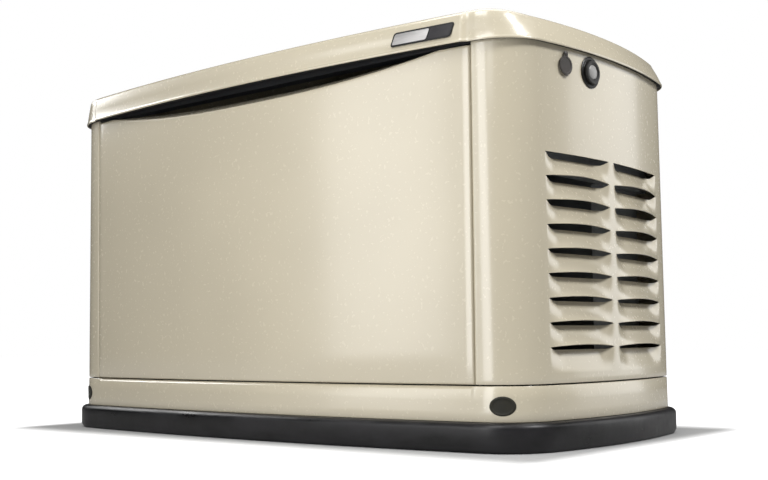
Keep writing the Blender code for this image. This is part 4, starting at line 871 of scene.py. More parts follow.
def wall_rows():
    """The end wall's rows, bottom to top: ("z", height, growth) or ("blade", row, share)."""
    louvres = bpy.context.scene.generator_louvres
    rows = [("z", WALL_FOOT, -0.0090), ("z", WALL_FOOT, -0.0014),
            ("z", WALL_FOOT + 0.0004, -0.0004), ("z", WALL_FOOT + 0.0014, 0.0)]
    last = louvres.top - louvres.pitch * louvres.rows
    rows += [("z", z, 0.0) for z in spread(WALL_FOOT + 0.0014, last - 0.002, 2)[1:]]
    for row in reversed(range(louvres.rows)):
        rows += [("blade", row, 1 - k / 9) for k in range(10)]
    rows += [("z", z, 0.0) for z in spread(louvres.top + 0.0003, WALL_TOP, 8)]
    return rows


def wall_point(station, row):
    """Height and growth of an end wall's point."""
    case = bpy.context.scene.generator_case
    louvres = bpy.context.scene.generator_louvres
    kind, first, second = row
    if kind == "z":
        return first, second - case.wall_inset
    press, arch = blade_share(station[1]) if station[0] == "end" else (0.0, 0.0)
    z_top = louvres.top - first * louvres.pitch
    z_foot = z_top - louvres.pitch
    step = first / max(louvres.rows - 1, 1)
    gap = louvres.gap_top + (louvres.gap_foot - louvres.gap_top) * min(step * 1.5, 1)
    last = first == louvres.rows - 1
    lift = 0.0 if last else louvres.arch * arch
    upper = z_top - 0.0003 - gap * min(press * 2.2, 1)
    lower = z_foot + 0.0003 + lift
    z = upper + (lower - upper) * second
    out = 0.0 if last else louvres.proud * arch * second ** 2.4
    inward = louvres.press * press * (1 - second) ** 1.15
    return z, out - inward - case.wall_inset


class GENERATOR_OT_end_panels(bpy.types.Operator):
    """Model the two louvred end panels"""
    bl_idname = "generator.end_panels"
    bl_label = "End panels"

    def execute(self, context):
        case = context.scene.generator_case
        seam = SEAM + SEAM_GAP
        edge = panel_edge(seam, case.hem)
        half = edge + [("front", x, 0, False) for x in spread(seam + case.hem, tangent_x(), 3)[1:]]
        half += [("corner", s, 0, False) for s in spread(0, 1, 16)[1:-1]]
        stations = half + [("end", y, 0, False) for y in end_ys()] + mirrored(half)
        rows = wall_rows()
        for side, name in SIDES:
            def place(i, j):
                station = stations[i if side > 0 else len(stations) - 1 - i]
                z, grow = wall_point(station, rows[j])
                point = plan(station, grow, z)
                point.x *= side
                return point
            panel = wrapped("end_panel_" + name, len(stations) - 1, len(rows) - 1, place)
            self.open_slots(panel, stations, rows, side)
            modify(panel, "SOLIDIFY", thickness=case.sheet, offset=-1)
            self.bore(panel, side, LOCK_Y, LOCK_Z, LOCK_BORE)
            if side > 0:
                self.bore(panel, side, LIGHT_Y, LIGHT_Z, LIGHT_BORE)
            settle(panel, coat_look(), "enclosure", name + "_end_panel", slot="enclosure_paint",
                   angle=32)
        return {"FINISHED"}

    def open_slots(self, panel, stations, rows, side):
        """Take out the faces between each lip and the next blade, within the columns."""
        columns = len(stations) - 1
        inside = set()
        for i in range(columns):
            pair = stations[i], stations[i + 1]
            if side < 0:
                pair = stations[columns - i], stations[columns - 1 - i]
            if all(s[0] == "end" for s in pair):
                middle = (pair[0][1] + pair[1][1]) / 2
                if blade_share(middle)[0] > 0:
                    inside.add(i)
        slots = {j for j in range(len(rows) - 1)
                 if rows[j][0] == "blade" and rows[j][2] < 1e-6}
        select_faces(panel, lambda face: face.index % columns in inside
                     and face.index // columns in slots)
        bpy.ops.mesh.delete(type="ONLY_FACE")
        bpy.ops.object.mode_set(mode="OBJECT")

    def bore(self, panel, side, y, z, radius):
        """A round hole through an end wall."""
        stand = end_wall_frame(side, y, z) @ FACE_OUT @ Matrix.Translation((0, 0, -0.015))
        cut(panel, slab("drill", oval(2 * radius, 2 * radius), 0.03, stand))


def recess_top():
    """Height where the front panel ends, just short of the lid's edge."""
    return bpy.context.scene.generator_case.lid_edge - 0.0015


def crease(x):
    """Height of the front panel's crease below the lid."""
    case = bpy.context.scene.generator_case
    drop = case.recess * (1 - min(abs(x) / case.recess_span, 1) ** 2.4)
    return recess_top() - max(drop, 0.003)


def long_stations(steps):
    """Stations from the left seam to the right one: (x, tuck)."""
    case = bpy.context.scene.generator_case
    hem = case.hem
    right = [(SEAM - hem, 0.0), (SEAM - hem * 0.3, hem * 0.3), (SEAM, hem), (SEAM, HEM_TUCK)]
    left = [(-x, tuck) for x, tuck in reversed(right)]
    return left + [(x, 0.0) for x in spread(-SEAM + hem, SEAM - hem, steps)[1:-1]] + right


class GENERATOR_OT_long_panels(bpy.types.Operator):
    """Model the front panel with its finger recess, and the rear panel"""
    bl_idname = "generator.long_panels"
    bl_label = "Front and rear panels"

    def execute(self, context):
        case = context.scene.generator_case
        stations = long_stations(72)
        hem = 0.0036
        bend = [(-0.012, 0.0), (-hem, 0.0), (-hem * 0.62, hem * 0.08), (-hem * 0.29, hem * 0.29),
                (-hem * 0.08, hem * 0.62), (0, hem)]
        face = spread(0, 1, 10)[1:]
        # the rounded crease and the sheet leaning in above it: (share of lean, inward, up)
        ease = 0.005
        lean_in, lean_up = 0.80, 0.42   # how far in and up the sheet runs for its height
        lean = [(0, -ease * 0.04, ease * 0.5), (0, -ease * 0.18, ease * 0.95)]
        lean += [(share, -ease * 0.18, ease * 0.95) for share in (0.25, 0.5, 0.75, 1.0)]

        def lower(j, top):
            """Growth and height of a row of the bend at the foot or the face above it."""
            if j < len(bend):
                return bend[j][0], WALL_FOOT + bend[j][1]
            return 0, WALL_FOOT + hem + (top - WALL_FOOT - hem) * face[j - len(bend)]

        def front(i, j):
            x, tuck = stations[i]
            top = crease(x) - ease * 0.8
            if j < len(bend) + len(face):
                grow, z = lower(j, top)
            else:
                share, grow, rise = lean[j - len(bend) - len(face)]
                run = (recess_top() - crease(x)) * share
                grow -= run * lean_in
                z = top + rise + run * lean_up
            return plan(("front", x, tuck, False), grow - case.wall_inset, z)
        panel = wrapped("front_panel_skin", len(stations) - 1,
                        len(bend) + len(face) + len(lean) - 1, front)
        modify(panel, "SOLIDIFY", thickness=case.sheet, offset=-1)
        settle(panel, coat_look(), "front_panel", "front_panel", slot="enclosure_paint", angle=40)

        def rear(i, j):
            x, tuck = stations[len(stations) - 1 - i]
            grow, z = lower(j, WALL_TOP)
            return plan(("front", x, tuck, True), grow - case.wall_inset, z)
        back = wrapped("rear_panel_skin", len(stations) - 1, len(bend) + len(face) - 1, rear)
        modify(back, "SOLIDIFY", thickness=case.sheet, offset=-1)
        inlet = Matrix.Translation((GAS_X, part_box("fuel_regulator")[1].y, GAS_Z))
        cut(back, round_tool(0.0109, 0.08, inlet @ Matrix.Rotation(pi / 2, 4, "X"), 48))
        settle(back, coat_look(), "enclosure", "rear_panel", slot="enclosure_paint", angle=40)
        return {"FINISHED"}


# --- lid -------------------------------------------------------------------------------------

class GENERATOR_OT_lid(bpy.types.Operator):
    """Model the hinged lid with its brow, crown and keepers"""
    bl_idname = "generator.lid"
    bl_label = "Lid"

    def execute(self, context):
        case = context.scene.generator_case
        stations = ring_stations(front_spread(), corner_steps=16)
        edge = case.lid_edge
        lean, skirt = case.lid_lean, case.lid_skirt
        plumb = 0.0060   # the skirt starts upright, which leaves room for the lock covers
        # (inset, rise) from the lower edge up the skirt and over the rounded shoulder
        rows = [(0.0014, 0.0), (0.0004, 0.0004), (0.0, 0.0014), (0.0, 0.0026), (0.0004, 0.0036),
                (0.0011, 0.0044), (0.0012 + lean * 0.12, skirt * 0.13),
                (lean * 0.5, skirt * 0.5), (lean * 0.75, skirt * 0.75), (lean, skirt)]
        rows += [(0.0048, 0.0466), (0.0067, 0.0488), (0.0094, 0.0506), (0.0128, 0.0519),
                 (0.0166, 0.0528), (0.0205, 0.0535)]
        crown = (0.98, 0.94, 0.86, 0.75, 0.6, 0.4, 0.2, 0.0)
        columns = 2 * (len(stations) - 1)

        def dome(x, y):
            return (1 - (x / HALF_LENGTH) ** 2) * (1 - (y / HALF_DEPTH) ** 2)

        def place(i, j):
            inset, rise = rows[min(j, len(rows) - 1)]
            z = edge + rise
            sideways = end_share(stations, i)
            leaning = min(max((rise - plumb) / (skirt - plumb), 0), 1)
            inset += case.end_lean * sideways * leaning
            z -= case.end_fall * sideways * (rise / rows[-1][1]) ** 2
            point = ring_point(stations, i, -case.lid_inset - inset, z)
            proud = case.brow * seam_share(point.x)
            fade = min(max((rows[-1][1] - rise) / 0.012, 0), 1)
            point = ring_point(stations, i, -case.lid_inset - inset + proud * fade, z)
            if j >= len(rows):
                scale = crown[j - len(rows)]
                level = dome(point.x * scale, point.y * scale)
                level -= scale ** 2 * dome(point.x, point.y)
                point = Vector((point.x * scale, point.y * scale, z + (HEIGHT - z) * level))
            return point
        lid = wrapped("lid", columns, len(rows) + len(crown) - 1, place)
        weld_doubles(lid, outward=False)
        modify(lid, "SOLIDIFY", thickness=0.0020, offset=-1)
        settle(lid, coat_look(), "lid", "roof_lid", slot="enclosure_paint", angle=28)
        self.seal(stations)
        for side, name in SIDES:
            settle(self.keeper(side, name), stock("zinc_plate"), "lid", slot="grey_steel")
        return {"FINISHED"}

    def seal(self, stations):
        """A foam strip inside the lid's lower edge, clear of the walls."""
        case = bpy.context.scene.generator_case
        gap = case.wall_inset - 0.0009
        rows = [(case.lid_inset + 0.0026, 0.0010), (gap, 0.0012), (gap, 0.0070),
                (case.lid_inset + 0.0026, 0.0074)]
        rows.append(rows[0])

        def place(i, j):
            inset, rise = rows[j]
            return ring_point(stations, i, -inset, case.lid_edge + rise)
        strip = wrapped("lid_seal", 2 * (len(stations) - 1), len(rows) - 1, place, closed=True)
        # the lock covers swing up past the strip, so its outer side is cut away beside them
        half, foot, head, clear = 0.042, -0.01, 0.02, 0.0020
        room = [(-half, foot), (half, foot), (half, head), (-half, head)]
        for side, _ in SIDES:
            stand = end_wall_frame(side, LOCK_Y, case.lid_edge) @ FACE_OUT
            cut(strip, slab("room", room, 0.02, stand @ Matrix.Translation((0, 0, clear))))
        settle(strip, stock("sealing_foam_black"), "lid", slot="plug_rubber")

    def keeper(self, side, name):
        """A bent strip: a tab under the crown, a leg down and a foot for the lock's cam."""
        beside = -0.0240   # the keeper stands this far in front of the lock
        matrix = end_wall_frame(side, LOCK_Y + beside, LOCK_Z)
        outline = [(-0.0245, -0.009), (-0.0155, -0.009), (-0.0155, -0.007), (-0.0225, -0.007),
                   (-0.0225, 0.0435), (-0.0060, 0.0435), (-0.0060, 0.0455), (-0.0245, 0.0455)]
        stand = matrix @ Matrix.Rotation(pi / 2, 4, "X") @ Matrix.Translation((0, 0, -0.012))
        return slab("keeper_" + name, outline, 0.024, stand, 0.0005)


# --- trim ------------------------------------------------------------------------------------

class GENERATOR_OT_trim(bpy.types.Operator):
    """Model the lock covers, status light and nameplate"""
    bl_idname = "generator.trim"
    bl_label = "Trim"

    def execute(self, context):
        colours = context.scene.generator_colours
        dark = look("phosphate_cover", satin_paint, tuple(colours.cover), 0.5)
        for side, name in SIDES:
            matrix = end_wall_frame(side, LOCK_Y, COVER_PIVOT_Z)
            cover = self.cover("lock_cover_plate_" + name, matrix)
            settle(cover, dark, "lock_cover_" + name, "lock_cover_" + name, slot="dark_metal")
            rivet = turned("cover_rivet_" + name,
                           [(0, 0.0066), (0.0016, 0.0065), (0.0032, 0.0060), (0.0042, 0.0053),
                            (0.0042, 0.0050), (0, 0.0050)], matrix @ AXIS_OUT, 24)
            settle(rivet, dark, "enclosure", slot="dark_metal")
        self.light(context)
        self.plate(context)
        return {"FINISHED"}

    def cover(self, name, matrix):
        """A disc with a narrow ear at its pivot and a finger tab below."""
        drop, radius, ear, tab = 0.0188, 0.0156, 0.0045, 0.0035
        neck, root = acos(ear / radius), acos(tab / radius)
        disc = arc_points((0, -drop), radius, pi - neck, pi + root, 20)
        low = -drop - radius - 0.0013
        disc += [(-tab, low + 0.001), (-tab * 0.7, low), (tab * 0.7, low), (tab, low + 0.001)]
        disc += arc_points((0, -drop), radius, 2 * pi - root, 2 * pi + neck, 20)
        outline = disc + arc_points((0, 0), ear, 0, pi, 12)
        back, thick, bore = 0.0024, 0.0026, 0.0023
        item = slab(name, outline, thick, matrix @ FACE_OUT @ Matrix.Translation((0, 0, back)),
                    0.0009, 3)
        dish = turned("dish", [(0, 0.002), (0.0128, 0.002), (0.0128, 0.0), (0.0120, -0.0007),
                               (0, -0.0007)],
                      matrix @ Matrix.Translation((back + thick, 0, -drop)) @ AXIS_OUT, 40)
        cut(item, round_tool(bore, 0.02, matrix @ AXIS_OUT, 24), dish)
        return item

    def light(self, context):
        """The status light: a bezel in the wall and its lens."""
        colours = context.scene.generator_colours
        matrix = end_wall_frame(1, LIGHT_Y, LIGHT_Z) @ AXIS_OUT
        black = look("moulded_bezel", moulded_plastic, tuple(colours.ring), 0.42)
        bezel = turned("light_bezel",
                       [(0, 0.0016), (0.0122, 0.0016), (0.0122, 0.0058), (0.0130, 0.0066),
                        (0.0150, 0.0068), (0.0156, 0.0076), (0.0180, 0.0078), (0.0192, 0.0075),
                        (0.0197, 0.0066), (0.0198, 0.0050), (0.0199, 0.0014), (0.0206, 0.0010),
                        (0.0216, 0.0020), (0.0250, 0.0024), (0.0262, 0.0016), (0.0262, 0.0004),
                        (0.0170, 0.0004), (0.0170, -0.0260), (0, -0.0260)], matrix, 64)
        settle(bezel, black, "enclosure", "status_light_bezel", slot="black_plastic")
        lens = turned("light_lens", [(0, 0.0088), (0.0030, 0.0087), (0.0062, 0.0083),
                                     (0.0090, 0.0077), (0.0110, 0.0070), (0.0119, 0.0062),
                                     (0.0120, 0.0050), (0.0120, 0.0020), (0, 0.0020)],
                      matrix, 48)
        clear = look("polycarbonate_lens", clear_lens, tuple(colours.lens))
        settle(lens, clear, "enclosure", "status_light_lens", slot="lens")

    def plate(self, context):
        """A slanted plate with a black border, light at the left and charcoal at the right."""
        case = context.scene.generator_case
        colours = context.scene.generator_colours
        low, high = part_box("nameplate")
        middle = (Vector(low) + Vector(high)) / 2
        z = middle.z - 0.0015   # the plate hangs a little low on the skirt
        share = (z - case.lid_edge) / case.lid_skirt
        grow = -case.lid_inset - case.lid_lean * share + case.brow
        point = plan(("front", middle.x, 0, False), grow, z)
        centre = arcs_at(case.lid_edge)["front"][0]
        out = Vector((point.x - centre.x, point.y - centre.y, 0)).normalized()
        lean = atan2(case.lid_lean, case.lid_skirt)
        out = out * cos(lean) + UP * sin(lean)
        matrix = frame_at(point, out)
        silver = look("anodised_plate", brushed_plate, tuple(colours.plate))
        # (name, finish, outline, thickness, lift, bevel)
        layers = (("plate_border", stock("plate_border"),
                   (-0.0560, 0.0595, 0.0118, 0.0040, 0.0056), 0.0012, 0.0002, 0.0004),
                  ("plate_light", silver,
                   (-0.0530, 0.0130, 0.0088, 0.0034, 0.0036), 0.0004, 0.0013, 0.0002),
                  ("plate_dark", stock("plate_charcoal"),
                   (0.0158, 0.0568, 0.0090, 0.0034, 0.0036), 0.0003, 0.0013, 0.0002))
        for name, finish, outline, thick, lift, bevel in layers:
            layer = slab(name, self.slanted(*outline), thick,
                         matrix @ FACE_OUT @ Matrix.Translation((0, 0, lift)), bevel)
            nodes = ["nameplate"] if name == "plate_border" else []
            settle(layer, finish, "lid", *nodes, slot="plate_silver")

    def slanted(self, left, right, half, slant, radius):
        """A leaning four-sided outline with rounded corners."""
        corners = [(left - slant, -half), (right - slant, -half), (right + slant, half),
                   (left + slant, half)]
        outline = []
        for k in range(4):
            before, corner, after = (Vector(corners[(k + s) % 4]) for s in (-1, 0, 1))
            back, ahead = (before - corner).normalized(), (after - corner).normalized()
            for step in range(7):
                t = step / 6
                outline.append(tuple(corner + back * radius * (1 - t) ** 2
                                     + ahead * radius * t ** 2))
        return outline


# --- inside the case -------------------------------------------------------------------------

def box_of(name):
    """A frame node's lowest and highest corners."""
    low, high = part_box(name)
    return Vector(low), Vector(high)


def axis_frame(place, along):
    """A frame at a place whose Z runs along a direction."""
    matrix = Vector(along).to_track_quat("Z", "Y").to_matrix().to_4x4()
    matrix.translation = place
    return matrix


def screws(name, places, along, radius):
    """Hexagon heads on washers, as one piece."""
    parts = []
    for place in places:
        stand = axis_frame(place, along)
        rim = radius * 1.4
        parts.append(turned(name, [(0, -0.0008), (rim, -0.0008), (rim, 0.0007),
                                   (rim * 0.94, 0.0010), (0, 0.0010)], stand, 20))
        parts.append(turned(name, [(0, 0.0005), (radius, 0.0005), (radius, radius * 0.8),
                                   (radius * 0.86, radius * 0.95), (0, radius * 0.95)], stand, 6))
    return settle(join(name, parts), stock("zinc_plate"), "enclosure", slot="grey_steel")


def tube(name, inner, outer, low, high, matrix, steps=40, ease=0.0006):
    """A ring or sleeve along the matrix's Z."""
    return turned(name, [(inner, low), (outer - ease, low), (outer, low + ease),
                         (outer, high - ease), (outer - ease, high), (inner, high), (inner, low)],
                  matrix, steps)


class GENERATOR_OT_battery(bpy.types.Operator):
    """Model the starting battery with its lid, posts and hold-down strap"""
    bl_idname = "generator.battery"
    bl_label = "Battery"

    def execute(self, context):
        low, high = box_of("battery")
        post = 0.0160
        top = high.z - post
        shoulder = low.z + (top - low.z) * 0.80
        inset = Vector((0.0025, 0.0025, 0))
        parts = [block("battery_case", low + inset,
                       Vector((high.x, high.y, shoulder)) - inset, 0.004, 3)]
        foot, crest = low.z + 0.022, shoulder - 0.012
        proud, wide = 0.0025, 0.003      # half a rib's depth and width
        inward = 0.0035                  # a rib's middle behind the case's box
        ribs = [(x, y, wide, proud) for x in spread(low.x + 0.018, high.x - 0.018, 11)
                for y in (low.y + inward, high.y - inward)]
        ribs += [(x, y, proud, wide) for y in spread(low.y + 0.018, high.y - 0.018, 8)
                 for x in (low.x + inward, high.x - inward)]
        for x, y, half_x, half_y in ribs:
            parts.append(block("rib", (x - half_x, y - half_y, foot),
                               (x + half_x, y + half_y, crest), 0.0008))
        black = stock("moulded_abs_black")
        settle(join("battery_case", parts), black, "enclosure", "battery", slot="black_plastic")
        lid = block("battery_lid", (low.x, low.y, shoulder - 0.001), (high.x, high.y, top),
                    0.0035, 3)
        settle(lid, stock("moulded_polypropylene_grey"), "enclosure", slot="black_plastic")
        third = (high.x - low.x) / 3
        for k in (0, 1):
            x = low.x + third * (1 + k)
            strip = block("battery_vent_cap_" + "ab"[k], (x - 0.030, low.y + 0.042, top - 0.002),
                          (x + 0.030, low.y + 0.068, top + 0.0045), 0.0025, 3)
            settle(strip, black, "enclosure", slot="black_plastic")
        for k, ring in ((0, black), (1, stock("moulded_ring_red"))):
            x = (low.x + 0.0250, high.x - 0.0250)[k]
            stand = Matrix.Translation((x, high.y - 0.0320, top))
            pole = turned("battery_post_" + "ab"[k],
                          [(0, -0.001), (0.0090, -0.001), (0.0090, 0.0020),
                           (0.0085, post - 0.0010), (0.0077, post), (0.0030, post),
                           (0.0026, post - 0.0006), (0, post - 0.0006)], stand, 32)
            settle(pole, stock("cast_lead"), "enclosure", slot="grey_steel")
            collar = tube("battery_ring_" + "ab"[k], 0.0092, 0.0140, -0.0005, 0.0022, stand)
            settle(collar, ring, "enclosure", slot="black_plastic")
        middle = (low.y + high.y) / 2 + 0.018
        front, back = middle - 0.009, middle + 0.009
        parts = [block("strap", (low.x - 0.0018, front, top + 0.0002),
                       (high.x + 0.0018, back, top + 0.0020), 0.0006)]
        for x in (low.x - 0.0018, high.x + 0.0002):
            parts.append(block("strap", (x, front, low.z + 0.004),
                               (x + 0.0016, back, top + 0.0019), 0.0005))
        settle(join("battery_strap", parts), stock("zinc_plate"), "enclosure", slot="grey_steel")
        return {"FINISHED"}


class GENERATOR_OT_controls(bpy.types.Operator):
    """Model the membrane, display, lamps and buttons of the controller, and the console's screws
    """
    bl_idname = "generator.controls"
    bl_label = "Controls"

    def execute(self, context):
        low, high = box_of("controller_faceplate")
        top = low.z + 0.0040
        x, y = low.x, low.y
        sheet = block("controller_membrane", (x + 0.010, y + 0.040, top - 0.0003),
                      (x + 0.150, y + 0.122, top + 0.0004), 0.0002)
        settle(sheet, stock("printed_film_slate"), "enclosure", slot="black_plastic")
        black = stock("moulded_abs_black")
        surround = block("controller_display_frame", (x + 0.018, y + 0.056, top),
                         (x + 0.104, y + 0.112, top + 0.0026), 0.0010)
        settle(surround, black, "enclosure", slot="black_plastic")
        screen = block("controller_display", (x + 0.024, y + 0.063, top + 0.0010),
                       (x + 0.098, y + 0.105, top + 0.0029), 0.0002)
        settle(screen, stock("display_glass"), "enclosure", slot="lens")
        for k, letter in enumerate("abc"):
            stand = Matrix.Translation((x + 0.124, y + 0.066 + 0.018 * k, top))
            rim = tube("lamp_rim_" + letter, 0.0028, 0.0042, 0, 0.0016, stand, 24, 0.0003)
            settle(rim, black, "enclosure", slot="black_plastic")
            dome = turned("lamp_" + letter,
                          [(0, 0.0030), (0.0013, 0.0027), (0.0022, 0.0020), (0.0027, 0.0008),
                           (0.0027, 0), (0, 0)], stand, 24)
            settle(dome, stock("lamp_lens_" + letter), "enclosure", slot="lens")
        for name in ("button_off", "button_manual", "button_auto"):
            low, high = box_of(name)
            radius = (high.x - low.x) / 2
            tall = high.z - low.z
            stand = Matrix.Translation(((low.x + high.x) / 2, (low.y + high.y) / 2, low.z))
            cap = turned(name + "_cap",
                         [(0, 0), (radius, 0), (radius, tall - 0.0014),
                          (radius - 0.0004, tall - 0.0005), (radius - 0.0013, tall),
                          (radius - 0.0030, tall - 0.0002), (0, tall - 0.0010)], stand, 36)
            settle(cap, stock("silicone_grey"), name, name, slot="button_rubber")
        low, high = box_of("control_console")
        screws("console_screws", [(low.x + 0.012, low.y + 0.006, high.z - 0.0002),
                                  (high.x - 0.052, low.y + 0.006, high.z - 0.0002)],
               (0, 0, 1), 0.0030)
        return {"FINISHED"}


class GENERATOR_OT_engine(bpy.types.Operator):
    """Model the screws on the engine's covers and crankcase, its plugs, filter, cap and starter"""
    bl_idname = "generator.engine"
    bl_label = "Engine"

    def execute(self, context):
        for side, name in ((-1, "front"), (1, "rear")):
            self.head(side, name)
        low, high = box_of("oil_filter")
        radius = (high.x - low.x) / 2
        deep = high.y - low.y
        stand = axis_frame(((low.x + high.x) / 2, high.y, (low.z + high.z) / 2), (0, -1, 0))
        canister = turned("oil_filter_canister",
                          [(0, 0), (radius - 0.004, 0), (radius - 0.002, 0.0015),
                           (radius - 0.002, 0.006), (radius, 0.008), (radius, 0.011),
                           (radius - 0.001, 0.013), (radius - 0.001, deep * 0.66),
                           (radius - 0.001, deep * 0.72, 0.0022),
                           (radius - 0.0015, deep * 0.92, 0.0026), (radius - 0.006, deep * 0.97),
                           (radius - 0.013, deep), (0, deep)], stand, 90, 15)
        settle(canister, stock("filter_enamel_white"), "enclosure", "oil_filter",
               slot="filter_enamel")
        low, high = box_of("oil_fill_cap")
        stand = axis_frame((low + high) / 2, (0, -1, 1))
        cap = turned("oil_fill_cap_grip",
                     [(0, -0.0090), (0.0150, -0.0090), (0.0178, -0.0086), (0.0180, -0.0050),
                      (0.0180, -0.0040, 0.0016), (0.0180, 0.0060, 0.0016),
                      (0.0172, 0.0084, 0.0008), (0.0158, 0.0090), (0.0110, 0.0090),
                      (0.0100, 0.0078), (0, 0.0078)], stand, 108, 18)
        settle(cap, stock("moulded_nylon_yellow"), "oil_fill_cap", "oil_fill_cap",
               slot="yellow_plastic")
        self.starter()
        low, high = box_of("crankcase")
        screws("crankcase_screws", [(low.x - 0.0002, y, z) for y in (-0.085, 0.085)
                                    for z in (0.150, 0.330)], (-1, 0, 0), 0.0045)
        return {"FINISHED"}

    def head(self, side, name):
        """Screws, a plug and its boot on one cylinder, which leans out at 45 degrees."""
        along = Vector((0, side, 1)).normalized()
        across = Vector((0, side, -1)).normalized()
        low, high = box_of("rocker_cover_" + name)
        middle = (low + high) / 2
        wide = (high.x - low.x) / 2
        face = middle + along * 0.0150
        screws("rocker_screws_" + name,
               [face + Vector((x * (wide - 0.012), 0, 0)) + across * t
                for x in (-1, 1) for t in (-0.030, 0.030)], along, 0.0040)
        low, high = box_of("cylinder_" + name)
        root = (low + high) / 2 + along * 0.050 + across * 0.0540
        stand = axis_frame(root, across)
        hexagon = turned("spark_plug_" + name,
                         [(0, -0.006), (0.0100, -0.006), (0.0100, 0.006), (0.0090, 0.0075),
                          (0.0070, 0.0085), (0.0062, 0.012), (0, 0.012)], stand, 6)
        settle(hexagon, stock("zinc_plate"), "enclosure", slot="grey_steel")
        boot = turned("spark_plug_boot_" + name,
                      [(0, 0.010), (0.0084, 0.010), (0.0090, 0.011), (0.0090, 0.016),
                       (0.0078, 0.018), (0.0078, 0.032), (0.0084, 0.034), (0.0084, 0.040),
                       (0.0068, 0.043), (0, 0.043)], stand, 32)
        settle(boot, stock("moulded_rubber_black"), "enclosure", slot="isolator_rubber")

    def starter(self):
        """The starter motor with its saddle, solenoid and studs."""
        low, high = box_of("starter_motor")
        radius = (high.z - low.z) / 2
        centre = Vector((low.x, low.y + radius, (low.z + high.z) / 2))
        run = high.x - low.x
        stand = axis_frame(centre, (1, 0, 0))
        can = turned("starter_can",
                     [(0, 0), (0.0130, 0), (0.0140, 0.003), (radius - 0.004, 0.004),
                      (radius - 0.001, 0.007), (radius - 0.001, 0.026), (radius, 0.027),
                      (radius, run - 0.026), (radius - 0.0012, run - 0.025),
                      (radius - 0.0012, run - 0.006), (radius - 0.005, run - 0.001),
                      (0.0120, run - 0.0005), (0.0110, run), (0, run)], stand, 56)
        saddle = block("saddle", (low.x + 0.035, centre.y + radius * 0.55, centre.z - 0.013),
                       (high.x - 0.035, high.y, centre.z + 0.013), 0.002)
        settle(join("starter_can", [can, saddle]), stock("electrocoat_black"), "enclosure",
               "starter_motor", slot="engine_paint")
        perch = Vector((centre.x + run * 0.30, centre.y - 0.002, high.z + 0.0165))
        stand = axis_frame(perch, (1, 0, 0))
        solenoid = turned("starter_solenoid",
                          [(0, 0), (0.0150, 0), (0.0170, 0.002), (0.0170, 0.044),
                           (0.0160, 0.046), (0.0160, 0.052), (0, 0.052)], stand, 40)
        settle(solenoid, stock("zinc_plate"), "enclosure", slot="grey_steel")
        studs = [turned("stud", [(0, 0.050), (0.0026, 0.050), (0.0026, 0.060), (0.0022, 0.061),
                                 (0, 0.061)],
                        axis_frame(perch + Vector((0, y, z)), (1, 0, 0)), 12)
                 for y, z in ((-0.007, 0.004), (0.007, 0.004))]
        settle(join("starter_studs", studs), stock("plated_stud_copper"), "enclosure",
               slot="copper_winding")


class GENERATOR_OT_alternator(bpy.types.Operator):
    """Model the alternator's laminated shell, bands and long screws"""
    bl_idname = "generator.alternator"
    bl_label = "Alternator"

    def execute(self, context):
        low, high = box_of("stator_can")
        bell_low, bell_high = box_of("alternator_end_bell")
        outer = (high.y - low.y) / 2
        inner = 0.0930
        z = (bell_low.z + bell_high.z) / 2
        stand = axis_frame((low.x, 0, z), (1, 0, 0))
        run = high.x - low.x
        waist = outer - 0.0030     # the groove beside each lamination
        ridge = outer - 0.0022
        profile = [(inner, 0), (outer - 0.0008, 0), (outer, 0.0008), (outer, 0.018),
                   (waist, 0.020)]
        laminations = 24           # packed between the two end rings
        for k in range(laminations):
            at = 0.022 + (run - 0.044) * (k + 0.5) / laminations
            profile += [(waist, at - 0.0030), (ridge, at - 0.0018), (ridge, at + 0.0018),
                        (waist, at + 0.0030)]
        profile += [(waist, run - 0.020), (outer, run - 0.018), (outer, run - 0.0008),
                    (outer - 0.0008, run), (inner, run), (inner, 0)]
        shell = turned("stator_shell", profile, stand, 72)
        feet = [block("foot", (x, y - 0.020, low.z), (x + 0.036, y + 0.020, z - outer * 0.70),
                      0.003) for x in (low.x + 0.012, high.x - 0.048) for y in (-0.075, 0.075)]
        settle(join("stator_shell", [shell] + feet), stock("laminated_steel"), "enclosure",
               "stator_can", slot="grey_steel")
        rods = []
        for degrees in (40, 140, 220, 320):
            a = radians(degrees)
            spot = Vector((0, cos(a), sin(a))) * (outer + 0.0015)
            start = Vector((low.x + 0.004, spot.y, z + spot.z))
            rods.append(bar("rod", start, start + Vector((run + 0.026, 0, 0)), 0.0032, 12))
        settle(join("alternator_rods", rods), stock("zinc_plate"), "enclosure",
               slot="grey_steel")
        return {"FINISHED"}


